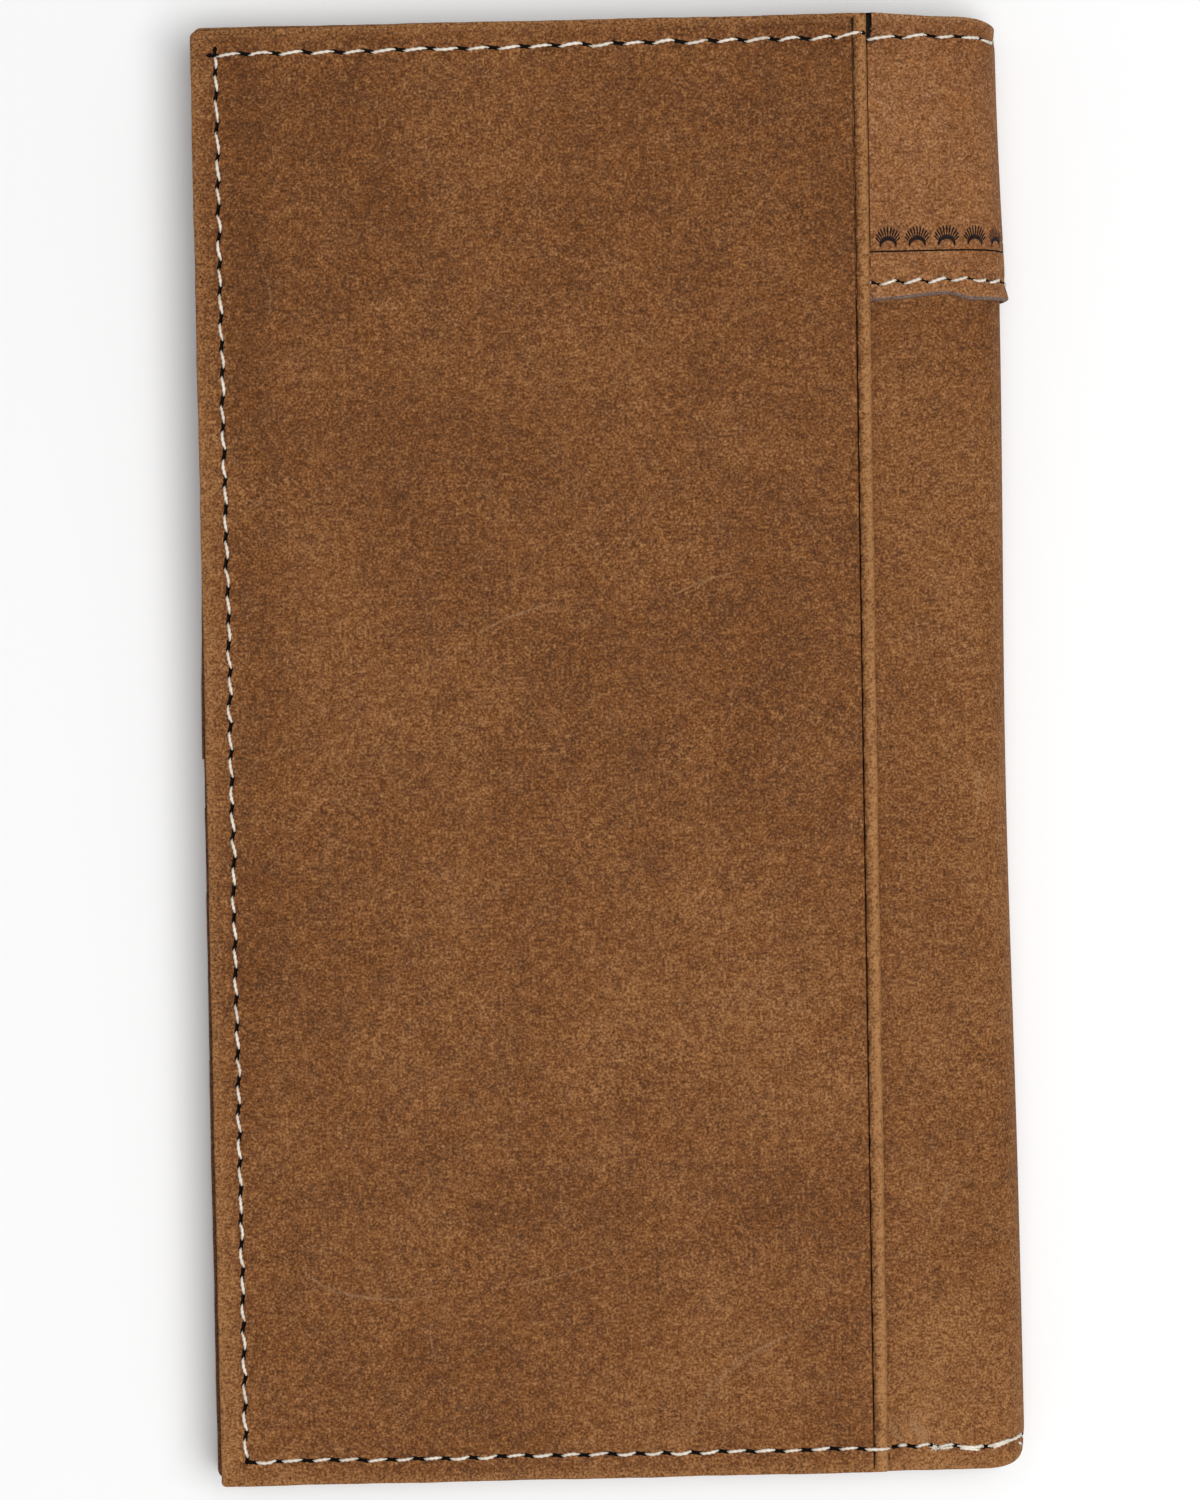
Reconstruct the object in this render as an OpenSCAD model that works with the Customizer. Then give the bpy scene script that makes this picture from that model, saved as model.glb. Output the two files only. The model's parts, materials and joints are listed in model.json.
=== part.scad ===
// Long fold-over checkbook cover in distressed leather, closed and lying on its front leaf.
// X runs from the free edges to the spine, Y runs along the spine and Z runs up through the thickness.
// The origin lies under the middle of the closed cover, level with the face that it rests on.

/* [Cover] */
// Height of the cover, measured along the spine
cover_len = 172; // [165:0.5:185]
// Width of the back leaf, from its free edge to where the spine starts to bend
leaf_w = 89.6; // [89:0.1:96]
// How far the front leaf reaches past the back leaf
leaf_offset = 1.2; // [0.6:0.1:3]
// Radius of the leaf corners at the free edge
corner_r = 1.2; // [0.6:0.1:3]
// Room left between the two leaves when the cover is closed
leaf_gap = 1.1; // [0.9:0.1:4]

/* [Leather] */
// Thickness of the outer shell
shell_t = 1.2; // [1:0.1:2]
// Thickness of the yoke that wraps the top of the cover
yoke_t = 0.8; // [0.7:0.1:1.6]
// Thickness of the outside pocket panel
panel_t = 1.2; // [1.1:0.1:1.8]
// Thickness of the lining
lining_t = 0.5; // [0.3:0.1:0.9]
// Thickness of the panel behind the card pockets
backing_t = 0.9; // [0.6:0.1:1.4]
// Thickness of one card pocket
pocket_t = 0.7; // [0.4:0.1:1]
// Thickness of the checkbook pocket
check_pocket_t = 0.9; // [0.6:0.1:1.4]
// Play in the long pocket behind each inner panel
slot_play = 0.2; // [0.1:0.05:0.8]

/* [Outside pocket panel] */
// Width of the panel, from the free edge to its open mouth
panel_w = 78.9; // [70:0.1:84]
// Width of the rounded bead along the mouth
bead_w = 1.55; // [1.2:0.05:2]
// Width of the creased line beside the bead
crease_w = 0.3; // [0.2:0.05:0.6]
// Depth of the creased line beside the bead
crease_d = 0.45; // [0.2:0.05:0.6]

/* [Yoke] */
// Height of the yoke, from the top edge of the cover
yoke_h = 33.5; // [25:0.5:60]
// Length of the thinned tongue that hides under the pocket panel
tongue_w = 8; // [4:0.5:12]
// Thickness of that tongue
tongue_t = 0.4; // [0.3:0.05:0.5]
// Distance of the tooled line from the lower edge of the yoke
line_up = 5.9; // [4:0.1:8]
// Width of the tooled line
line_w = 0.35; // [0.2:0.05:0.6]
// Depth of the tooled line
line_d = 0.25; // [0.1:0.05:0.4]

/* [Stitching] */
// Thickness of the needle thread, seen on the outside
thread_d = 0.5; // [0.4:0.05:0.6]
// Thickness of the bobbin thread, seen on the inside
bobbin_d = 0.35; // [0.3:0.05:0.4]
// Width of the groove that an outside stitch lies in
groove_w = 0.9; // [0.8:0.05:1.2]
// Length of one stitch between its two needle holes
stitch_len = 2; // [1.4:0.1:2.4]
// Distance from one stitch to the next along the free edge and the bottom edge
edge_pitch = 3.2; // [2.8:0.1:4]
// Distance from one stitch to the next along the top edge
top_pitch = 3.65; // [2.8:0.05:4.5]
// Distance from one stitch to the next along the yoke
yoke_pitch = 2.9; // [2.7:0.1:4]
// Distance of the free edge seam from the edge
side_inset = 2.9; // [2:0.1:5]
// Distance of the top and bottom seams from their edges
end_inset = 2.6; // [2:0.1:5]
// Distance of the yoke seam from the yoke's lower edge
yoke_inset = 2.2; // [1.3:0.1:3]
// Distance of the gutter seams from the edge of the inner panels
gutter_inset = 1.2; // [0.8:0.1:1.4]

/* [Pockets] */
// Depth of the foremost card pocket
pocket_depth = 50; // [44:0.5:54]
// Distance from one card pocket's mouth to the next
pocket_step = 10; // [6:0.5:10]
// Clear strip between the two banks of card pockets
bank_gap = 5.8; // [3:0.2:12]
// Height of the frame round the card window
frame_h = 64; // [56:0.5:74]
// Distance of that frame from the top edge of the cover
frame_drop = 7; // [5:0.5:14]
// Thickness of that frame
frame_t = 0.8; // [0.6:0.1:1.2]
// Thickness of the clear pane
pane_t = 0.3; // [0.2:0.05:0.6]
// Width of the strip of leather round the window
frame_margin = 6.5; // [4:0.5:12]
// Radius of the window's corners
window_r = 3; // [1:0.5:8]
// Radius of the thumb notch in the checkbook pocket
notch_r = 8; // [5:0.5:14]
// Distance of the thumb notch from the bottom edge of the cover
notch_up = 50; // [25:1:70]

/* [Hidden] */
$fn = 64;

leather = "#8a5a35";
dark_leather = "#7a4d2c";
suede = "#6b4a33";
thread = "#ece4d6";
vinyl = [0.85, 0.9, 0.92, 0.4];

// The spine bends in strips of one angle, and half a strip stays with each leaf.
strips = 3;
strip_angle = 180 / (strips + 1);
strip_gap = 0.15;
per_bank = 4;
clearance = 0.1;
thread_play = 0.02;
// Distance that a seam keeps from the one it turns into at a corner
corner_skip = 1;

// Radii of the bend, from the inside of the closed cover outwards
stack = lining_t + slot_play + backing_t + per_bank * pocket_t + leaf_gap
    + frame_t + pane_t + check_pocket_t + slot_play + lining_t;
shell_in_r = stack / 2;
shell_r = shell_in_r + shell_t;
yoke_r = shell_r + yoke_t;
lining_in_r = shell_in_r - lining_t;

// Places across the cover
front_w = leaf_w + leaf_offset;
front_x = -(front_w + yoke_r) / 2;
back_x = front_x + leaf_offset;
bend_x = back_x + leaf_w;
mouth_x = back_x + panel_w;
tongue_x = mouth_x - tongue_w;

// Places along the cover
top_y = cover_len / 2;
bottom_y = -top_y;
yoke_y = top_y - yoke_h;
yoke_seam_y = yoke_y + yoke_inset;
top_seam_y = top_y - end_inset;
bottom_seam_y = bottom_y + end_inset;
frame_top_y = top_y - frame_drop;
frame_y = frame_top_y - frame_h;
lower_bank_y = bottom_y;
upper_bank_y = bottom_y + pocket_depth + (per_bank - 1) * pocket_step + bank_gap;

// Levels through the closed cover
bend_z = yoke_r;
front_in_z = bend_z - lining_in_r;
backing_z = front_in_z + slot_play;
pocket_z = backing_z + backing_t;
back_in_z = bend_z + lining_in_r;
check_pocket_z = back_in_z - slot_play - check_pocket_t;
pane_z = check_pocket_z - pane_t;
frame_z = pane_z - frame_t;
shell_top_z = bend_z + shell_r;
yoke_top_z = shell_top_z + yoke_t;

// Sector of a ring about the bend, with its angles measured from straight down
module ring_sector(inner, outer, from, to) {
    reach = 2 * outer;
    intersection() {
        difference() {
            circle(outer);
            circle(inner);
        }
        polygon([
            [0, 0],
            [reach * sin(from), -reach * cos(from)],
            [reach * sin(to), -reach * cos(to)],
        ]);
    }
}

// Carries a flat profile of X and Z along the cover, between two places on Y
module along_y(from, to) {
    translate([bend_x, to, bend_z])
        rotate([90, 0, 0])
            linear_extrude(to - from) children();
}

// Angle that half of the gap between two strips takes up
function gap_angle() = strip_gap / yoke_r * 90 / PI;

// One strip of a layer that bends round the spine
module spine_strip(number, outer, thickness, from, to) {
    start = (number - 0.5) * strip_angle;
    along_y(from, to)
        ring_sector(outer - thickness, outer, start + gap_angle(), start + strip_angle - gap_angle());
}

// One leaf of a layer that bends round the spine, with its share of the bend
module leaf_layer(side, width, outer, thickness, from, to) {
    along_y(from, to)
        mirror([0, side > 0 ? 1 : 0]) {
            translate([-width, -outer])
                square([width, thickness]);
            ring_sector(outer - thickness, outer, 0, strip_angle / 2 - gap_angle());
        }
}

// Cuts the square corner at the free edge round, at the top or at the bottom
module round_corner(x, end) {
    translate([x, end * top_y, -1])
        mirror([0, end > 0 ? 1 : 0])
            difference() {
                translate([-1, -1])
                    cube([corner_r + 1, corner_r + 1, 2 * yoke_r + 4]);
                translate([corner_r, corner_r, -1])
                    cylinder(h = 2 * yoke_r + 6, r = corner_r);
            }
}

module round_corners(x) {
    round_corner(x, 1);
    round_corner(x, -1);
}

// Flat panel that starts at a free edge and has that edge's round corners
module leaf_panel(x, width, z, thickness, from, to) {
    difference() {
        translate([x, from, z])
            cube([width, to - from, thickness]);
        round_corners(x);
    }
}

// Groove for a seam, cut down into a surface from above or up into it from below
module groove_y(x, from, to, z) {
    translate([x - groove_w / 2, from, z])
        cube([groove_w, to - from, thread_d]);
}

module groove_x(y, from, to, z) {
    translate([from, y - groove_w / 2, z])
        cube([to - from, groove_w, thread_d]);
}

// Groove that follows the bend
module groove_bend(outer, y, from, to) {
    along_y(y - groove_w / 2, y + groove_w / 2)
        ring_sector(outer - thread_d, outer + thread_d, from, to);
}

// One stitch along Z, with its ends drawn in where they dive into the needle holes
module stitch(d, length) {
    r = d / 2 - thread_play;
    half = length / 2;
    rotate_extrude($fn = 24)
        polygon([[0, -half], [r / 2, -half], [r, r - half], [r, half - r], [r / 2, half], [0, half]]);
}

// Length of a stitch in a row with this step: the stitch length, or less in a tight row
function stitch_in(step) = min(stitch_len, 0.75 * step);

// Rows of stitches between two places, spread evenly at about the given pitch
module row_y(x, from, to, z, pitch, d) {
    count = max(1, round((to - from) / pitch));
    step = (to - from) / count;
    for (i = [0 : count - 1])
        translate([x, from + (i + 0.5) * step, z])
            rotate([90, 0, 0])
                stitch(d, stitch_in(step));
}

module row_x(y, from, to, z, pitch, d) {
    count = max(1, round((to - from) / pitch));
    step = (to - from) / count;
    for (i = [0 : count - 1])
        translate([from + (i + 0.5) * step, y, z])
            rotate([0, 90, 0])
                stitch(d, stitch_in(step));
}

// One stitch that lies in the groove of a bent layer
module bend_stitch(outer, y, angle) {
    translate([bend_x, y, bend_z])
        rotate([0, -angle, 0])
            translate([0, 0, -outer + thread_d / 2])
                rotate([0, 90, 0])
                    stitch(thread_d, stitch_len);
}

// Outer shell: one long piece of leather on the real cover, divided here where it bends
module outer_shell_front() {
    z = bend_z - shell_r;
    color(leather)
        difference() {
            leaf_layer(-1, front_w, shell_r, shell_t, bottom_y, top_y);
            round_corners(front_x);
            groove_y(front_x + side_inset, bottom_seam_y, yoke_y, z);
            groove_x(bottom_seam_y, front_x + side_inset, bend_x, z);
            groove_bend(shell_r, bottom_seam_y, 0, strip_angle);
        }
}

module outer_shell_spine(number) {
    color(leather)
        difference() {
            spine_strip(number, shell_r, shell_t, bottom_y, top_y);
            groove_bend(shell_r, bottom_seam_y, (number - 1) * strip_angle, (number + 1) * strip_angle);
        }
}

module outer_shell_back() {
    color(leather)
        difference() {
            leaf_layer(1, leaf_w, shell_r, shell_t, bottom_y, top_y);
            round_corners(back_x);
            groove_x(bottom_seam_y, mouth_x, bend_x, shell_top_z - thread_d);
            groove_bend(shell_r, bottom_seam_y, 180 - strip_angle, 180);
        }
}

// Tooled line pressed along the yoke, and round the bend
module tooled_line_flat(from, to, z) {
    translate([from, yoke_y + line_up - line_w / 2, z])
        cube([to - from, line_w, line_d]);
}

module tooled_line_bend(from, to) {
    along_y(yoke_y + line_up - line_w / 2, yoke_y + line_up + line_w / 2)
        ring_sector(yoke_r - line_d, yoke_r + line_d, from, to);
}

module yoke_bend_grooves(from, to) {
    groove_bend(yoke_r, top_seam_y, from, to);
    groove_bend(yoke_r, yoke_seam_y, from, to);
    tooled_line_bend(from, to);
}

// Yoke: the second layer that wraps the top of the cover and shows its tooling
module yoke_front() {
    color(dark_leather)
        difference() {
            leaf_layer(-1, front_w, yoke_r, yoke_t, yoke_y, top_y);
            round_corner(front_x, 1);
            groove_y(front_x + side_inset, yoke_y, top_seam_y, 0);
            groove_x(top_seam_y, front_x + side_inset, bend_x, 0);
            groove_x(yoke_seam_y, front_x + side_inset, bend_x, 0);
            tooled_line_flat(front_x, bend_x, 0);
            yoke_bend_grooves(0, strip_angle);
        }
}

module yoke_spine(number) {
    color(dark_leather)
        difference() {
            spine_strip(number, yoke_r, yoke_t, yoke_y, top_y);
            yoke_bend_grooves((number - 1) * strip_angle, (number + 1) * strip_angle);
        }
}

module yoke_back() {
    start_x = mouth_x + clearance;
    color(dark_leather)
        difference() {
            union() {
                leaf_layer(1, bend_x - start_x, yoke_r, yoke_t, yoke_y, top_y);
                translate([tongue_x, yoke_y, shell_top_z])
                    cube([start_x - tongue_x + 1, yoke_h, tongue_t]);
            }
            groove_x(top_seam_y, start_x, bend_x, yoke_top_z - thread_d);
            groove_x(yoke_seam_y, start_x, bend_x, yoke_top_z - thread_d);
            tooled_line_flat(start_x, bend_x, yoke_top_z - line_d);
            yoke_bend_grooves(180 - strip_angle, 180);
        }
}

// Section of the pocket panel: a flat sheet, a creased line and a round bead along the mouth
module panel_section() {
    bead_r = bead_w / 2;
    square([panel_w - bead_w - crease_w, panel_t]);
    square([panel_w - bead_r, panel_t - crease_d]);
    intersection() {
        translate([panel_w - bead_r, panel_t - bead_r])
            circle(bead_r);
        square([panel_w, panel_t]);
    }
    translate([panel_w - bead_w, 0])
        square([bead_w, max(0.1, panel_t - bead_r)]);
}

// Outside pocket panel: sewn down on three sides and open towards the spine
module outside_pocket_panel() {
    groove_z = shell_top_z + panel_t - thread_d;
    color(leather)
        difference() {
            translate([back_x, top_y, shell_top_z])
                rotate([90, 0, 0])
                    linear_extrude(cover_len) panel_section();
            round_corners(back_x);
            groove_y(back_x + side_inset, bottom_seam_y, top_seam_y, groove_z);
            groove_x(top_seam_y, back_x + side_inset, mouth_x, groove_z);
            groove_x(bottom_seam_y, back_x + side_inset, mouth_x, groove_z);
            translate([tongue_x - clearance, yoke_y - clearance, shell_top_z])
                cube([tongue_w + 1, yoke_h + 1, tongue_t + clearance]);
        }
}

// Lining: bonded to the inside of the shell, and divided where it bends
module lining_front() {
    color(suede)
        difference() {
            leaf_layer(-1, front_w, shell_in_r, lining_t, bottom_y, top_y);
            round_corners(front_x);
        }
}

module lining_spine(number) {
    color(suede)
        spine_strip(number, shell_in_r, lining_t, bottom_y, top_y);
}

module lining_back() {
    color(suede)
        difference() {
            leaf_layer(1, leaf_w, shell_in_r, lining_t, bottom_y, top_y);
            round_corners(back_x);
        }
}

// Panel that carries the card pockets and forms the long slip pocket behind them
module card_backing() {
    color(dark_leather)
        leaf_panel(front_x, front_w, backing_z, backing_t, bottom_y, top_y);
}

// Level of the card pockets in a bank, from the rearmost up, and where each one's mouth lies
function bank_y(number) = number <= per_bank ? upper_bank_y : lower_bank_y;
function layer_of(number) = (number - 1) % per_bank;
function pocket_mouth_y(number) =
    bank_y(number) + pocket_depth + (per_bank - 1 - layer_of(number)) * pocket_step;
function pocket_level(number) = pocket_z + layer_of(number) * pocket_t;

module card_pocket(number) {
    color(leather)
        leaf_panel(front_x, front_w, pocket_level(number), pocket_t, bank_y(number),
            pocket_mouth_y(number));
}

// How many card pockets lie on the backing at a place along the cover
function pockets_at(y) =
    len([for (i = [1 : 2 * per_bank]) if (y > bank_y(i) && y < pocket_mouth_y(i)) i]);
function front_surface_z(y) = pocket_z + pockets_at(y) * pocket_t;

// Checkbook pocket: sewn down on three sides and open towards the spine, with a thumb notch
module checkbook_pocket() {
    color(leather)
        difference() {
            leaf_panel(back_x, leaf_w, check_pocket_z, check_pocket_t, bottom_y, top_y);
            translate([bend_x, bottom_y + notch_up, check_pocket_z - 1])
                cylinder(h = check_pocket_t + 2, r = notch_r);
        }
}

// Clear pane and the leather frame round it, for a card that is read through the window
module card_window_pane() {
    color(vinyl)
        translate([back_x, frame_y, pane_z])
            cube([leaf_w, frame_h, pane_t]);
}

module window_outline() {
    width = leaf_w - 2 * frame_margin;
    height = frame_h - 2 * frame_margin;
    translate([back_x + frame_margin, frame_y + frame_margin]) {
        translate([window_r, 0])
            square([width - 2 * window_r, height]);
        translate([0, window_r])
            square([width, height - 2 * window_r]);
        for (x = [window_r, width - window_r], y = [window_r, height - window_r])
            translate([x, y])
                circle(window_r);
    }
}

module card_window_frame() {
    color(leather)
        difference() {
            translate([back_x, frame_y, frame_z])
                cube([leaf_w, frame_h, frame_t]);
            translate([0, 0, frame_z - 1])
                linear_extrude(frame_t + 2) window_outline();
        }
}

// Needle thread of the seam round the front leaf
module edge_seam_front() {
    shell_z = bend_z - shell_r + thread_d / 2;
    color(thread) {
        row_y(front_x + side_inset, bottom_seam_y, yoke_y, shell_z, edge_pitch, thread_d);
        row_y(front_x + side_inset, yoke_seam_y + corner_skip, top_seam_y, thread_d / 2, edge_pitch,
            thread_d);
        row_x(top_seam_y, front_x + side_inset + corner_skip, bend_x, thread_d / 2, top_pitch, thread_d);
        row_x(bottom_seam_y, front_x + side_inset + corner_skip, bend_x, shell_z, edge_pitch, thread_d);
    }
}

// Needle thread of the seam round the back leaf, on the panel and then on the layers beside it
module edge_seam_back() {
    panel_z = shell_top_z + panel_t - thread_d / 2;
    color(thread) {
        row_y(back_x + side_inset, bottom_seam_y, top_seam_y, panel_z, edge_pitch, thread_d);
        row_x(top_seam_y, back_x + side_inset + corner_skip, mouth_x, panel_z, top_pitch, thread_d);
        row_x(top_seam_y, mouth_x + clearance, bend_x, yoke_top_z - thread_d / 2, top_pitch, thread_d);
        row_x(bottom_seam_y, back_x + side_inset + corner_skip, mouth_x, panel_z, edge_pitch, thread_d);
        row_x(bottom_seam_y, mouth_x, bend_x, shell_top_z - thread_d / 2, edge_pitch, thread_d);
    }
}

// Needle thread that holds the yoke's lower edge down
module yoke_seam_front() {
    color(thread)
        row_x(yoke_seam_y, front_x + side_inset, bend_x, thread_d / 2, yoke_pitch, thread_d);
}

module yoke_seam_back() {
    color(thread)
        row_x(yoke_seam_y, mouth_x + clearance, bend_x, yoke_top_z - thread_d / 2, yoke_pitch, thread_d);
}

// Stitches of the three seams where they pass over one strip of the spine
module spine_seam(number) {
    angle = number * strip_angle;
    color(thread) {
        bend_stitch(yoke_r, top_seam_y, angle);
        bend_stitch(yoke_r, yoke_seam_y, angle);
        bend_stitch(shell_r, bottom_seam_y, angle);
    }
}

// Bobbin thread of the edge seam, on the stepped face of the card pockets
module inner_seam_front() {
    x = front_x + side_inset;
    count = round((top_seam_y - bottom_seam_y) / edge_pitch);
    step = (top_seam_y - bottom_seam_y) / count;
    color(thread) {
        for (i = [0 : count - 1]) {
            y = bottom_seam_y + (i + 0.5) * step;
            z = max(front_surface_z(y - stitch_len / 2), front_surface_z(y + stitch_len / 2));
            translate([x, y, z + bobbin_d / 2])
                rotate([90, 0, 0])
                    stitch(bobbin_d, stitch_in(step));
        }
        row_x(top_seam_y, x + corner_skip, bend_x, front_surface_z(top_seam_y) + bobbin_d / 2, top_pitch,
            bobbin_d);
        row_x(bottom_seam_y, x + corner_skip, bend_x, front_surface_z(bottom_seam_y) + bobbin_d / 2,
            edge_pitch, bobbin_d);
    }
}

// Level of the back leaf's inner face, which steps down to the window frame
function back_surface_z(y) = y > frame_y && y < frame_top_y ? frame_z : check_pocket_z;

// Bobbin thread of the edge seam, on the checkbook pocket and the window frame
module inner_seam_back() {
    x = back_x + side_inset;
    count = round((top_seam_y - bottom_seam_y) / edge_pitch);
    step = (top_seam_y - bottom_seam_y) / count;
    color(thread) {
        for (i = [0 : count - 1]) {
            y = bottom_seam_y + (i + 0.5) * step;
            z = min(back_surface_z(y - stitch_len / 2), back_surface_z(y + stitch_len / 2));
            translate([x, y, z - bobbin_d / 2])
                rotate([90, 0, 0])
                    stitch(bobbin_d, stitch_in(step));
        }
        row_x(top_seam_y, x + corner_skip, bend_x, check_pocket_z - bobbin_d / 2, top_pitch, bobbin_d);
        row_x(bottom_seam_y, x + corner_skip, bend_x, check_pocket_z - bobbin_d / 2, edge_pitch, bobbin_d);
    }
}

// Seam that closes the card pockets beside the spine, and the one under the upper bank
module pocket_seam() {
    x = bend_x - gutter_inset;
    from = bottom_seam_y + corner_skip;
    to = top_seam_y - corner_skip;
    count = round((to - from) / edge_pitch);
    step = (to - from) / count;
    bank_seam_y = upper_bank_y + end_inset;
    color(thread) {
        for (i = [0 : count - 1]) {
            y = from + (i + 0.5) * step;
            z = max(front_surface_z(y - stitch_len / 2), front_surface_z(y + stitch_len / 2));
            translate([x, y, z + bobbin_d / 2])
                rotate([90, 0, 0])
                    stitch(bobbin_d, stitch_in(step));
        }
        row_x(bank_seam_y, front_x + side_inset + corner_skip, x - corner_skip,
            front_surface_z(bank_seam_y) + bobbin_d / 2, edge_pitch, bobbin_d);
    }
}

// Seam that holds the window frame, on its lower edge and beside the spine
module window_seam() {
    z = frame_z - bobbin_d / 2;
    seam_y = frame_y + end_inset;
    color(thread) {
        row_x(seam_y, back_x + side_inset + corner_skip, bend_x - gutter_inset - corner_skip, z, edge_pitch,
            bobbin_d);
        row_y(bend_x - gutter_inset, seam_y, frame_top_y - end_inset, z, edge_pitch, bobbin_d);
    }
}

outer_shell_front();
outer_shell_spine(1);  // outer_shell_spine_1
outer_shell_spine(2);  // outer_shell_spine_2
outer_shell_spine(3);  // outer_shell_spine_3
outer_shell_back();
yoke_front();
yoke_spine(1);  // yoke_spine_1
yoke_spine(2);  // yoke_spine_2
yoke_spine(3);  // yoke_spine_3
yoke_back();
lining_front();
lining_spine(1);  // lining_spine_1
lining_spine(2);  // lining_spine_2
lining_spine(3);  // lining_spine_3
lining_back();
outside_pocket_panel();
card_backing();
card_pocket(1);  // card_pocket_1
card_pocket(2);  // card_pocket_2
card_pocket(3);  // card_pocket_3
card_pocket(4);  // card_pocket_4
card_pocket(5);  // card_pocket_5
card_pocket(6);  // card_pocket_6
card_pocket(7);  // card_pocket_7
card_pocket(8);  // card_pocket_8
checkbook_pocket();
card_window_pane();
card_window_frame();
edge_seam_front();
edge_seam_back();
yoke_seam_front();
yoke_seam_back();
spine_seam(1);  // spine_seam_1
spine_seam(2);  // spine_seam_2
spine_seam(3);  // spine_seam_3
inner_seam_front();
inner_seam_back();
pocket_seam();
window_seam();
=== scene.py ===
# %% [markdown]
# # A long checkbook cover in distressed leather
# The real cover is cut from sheets of leather, folded round a spine, tooled, and sewn along its edges. This
# lesson dresses the imported model of it. The frame gives every size, so the leather, the thread and the
# clear window are built where the construction says, and the panel, the pockets, the window and the thread
# on the leaves move with the body that carries them.

import json
import math

import bpy
import numpy as np
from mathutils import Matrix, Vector
from mathutils.geometry import delaunay_2d_cdt
from mathutils.kdtree import KDTree

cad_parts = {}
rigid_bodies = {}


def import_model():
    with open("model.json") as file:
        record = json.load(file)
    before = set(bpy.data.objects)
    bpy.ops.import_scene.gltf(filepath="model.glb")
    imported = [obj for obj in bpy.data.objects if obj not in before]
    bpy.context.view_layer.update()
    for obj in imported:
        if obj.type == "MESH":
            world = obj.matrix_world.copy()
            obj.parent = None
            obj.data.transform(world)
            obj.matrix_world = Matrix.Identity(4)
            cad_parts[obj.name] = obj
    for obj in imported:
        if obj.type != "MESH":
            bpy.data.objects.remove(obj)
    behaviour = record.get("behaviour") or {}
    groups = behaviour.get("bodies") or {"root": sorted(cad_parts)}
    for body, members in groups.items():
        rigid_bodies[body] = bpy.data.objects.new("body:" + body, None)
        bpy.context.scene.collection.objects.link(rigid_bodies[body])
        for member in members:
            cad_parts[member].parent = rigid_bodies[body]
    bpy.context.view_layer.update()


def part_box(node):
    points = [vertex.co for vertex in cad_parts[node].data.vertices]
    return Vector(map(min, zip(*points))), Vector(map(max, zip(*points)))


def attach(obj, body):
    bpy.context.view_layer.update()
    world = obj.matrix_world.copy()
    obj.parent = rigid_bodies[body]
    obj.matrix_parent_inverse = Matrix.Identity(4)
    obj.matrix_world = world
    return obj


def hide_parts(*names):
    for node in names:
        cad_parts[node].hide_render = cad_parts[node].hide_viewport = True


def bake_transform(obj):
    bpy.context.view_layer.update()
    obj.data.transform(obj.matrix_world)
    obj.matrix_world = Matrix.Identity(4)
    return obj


for leftover in list(bpy.data.objects):
    bpy.data.objects.remove(leftover)
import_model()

# %% [markdown]
# ## Sizes from the frame
# All lengths below are in millimetres, because leather work is measured in them. A sheet that bends round
# the spine is easiest to think of laid out flat, so the bend's middle line and the radius of each layer are
# worked out here.

# %% Read the sizes
MM = 0.001


def box_mm(node):
    """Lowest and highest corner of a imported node, in millimetres."""
    return [np.array(corner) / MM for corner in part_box(node)]


BEND_X = box_mm("card_backing")[1][0]
YOKE_R, SHELL_R, LINING_R = (
    box_mm(f"{layer}_spine_2")[1][0] - BEND_X for layer in ("yoke", "outer_shell", "lining")
)
BEND_Z = box_mm("yoke_front")[0][2] + YOKE_R
SHELL_T = SHELL_R - LINING_R
YOKE_T = YOKE_R - SHELL_R
LINING_T = 0.5
FRONT_X = box_mm("outer_shell_front")[0][0]
BACK_X = box_mm("outer_shell_back")[0][0]
TOP_Y = box_mm("outer_shell_front")[1][1]
BOTTOM_Y = -TOP_Y
YOKE_Y = box_mm("yoke_front")[0][1]
MOUTH_X = box_mm("outside_pocket_panel")[1][0]
TONGUE_X = box_mm("yoke_back")[0][0]
PANEL_Z = box_mm("outside_pocket_panel")[0][2]
PANEL_T = box_mm("outside_pocket_panel")[1][2] - PANEL_Z
FRONT_W = BEND_X - FRONT_X
BACK_W = BEND_X - BACK_X
print(f"leaves {FRONT_W:.1f} and {BACK_W:.1f} mm wide, {2 * TOP_Y:.1f} mm long, spine radius {YOKE_R:.1f} mm")

# %% [markdown]
# ## Camera and light
# The photograph looks straight down from a little over half a metre, with the cover turned by just over a
# degree. A long lens at that distance gives the same slight perspective. A large soft light hangs over the
# lower right, so the left and top edges throw the only shadows, and a bright plain floor fills the rest.

# %% Set the camera
PHOTO_HEIGHT_PX = 1500
PHOTO_PX_PER_MM = 8.50
CAMERA_ABOVE = 580.0
CAMERA_X = -1.06
CAMERA_Y = -0.115
CAMERA_TURN = math.radians(-1.26)
SENSOR = 36.0


def new_object(name, data):
    """An object in the scene."""
    made = bpy.data.objects.new(name, data)
    bpy.context.scene.collection.objects.link(made)
    return made


camera_data = bpy.data.cameras.new("camera")
camera_data.sensor_fit = "VERTICAL"
camera_data.sensor_height = SENSOR
camera_data.lens = SENSOR * CAMERA_ABOVE * PHOTO_PX_PER_MM / PHOTO_HEIGHT_PX
camera_data.clip_end = 10.0
camera = new_object("camera", camera_data)
camera.location = (CAMERA_X * MM, CAMERA_Y * MM, (PANEL_Z + PANEL_T + CAMERA_ABOVE) * MM)
camera.rotation_euler = (0, 0, CAMERA_TURN)
bpy.context.scene.camera = camera
print(f"lens {camera_data.lens:.1f} mm")

# %% Light the set
KEY_POWER = 5.5
FILL_POWER = 2.3
WORLD_LIGHT = 0.28


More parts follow.
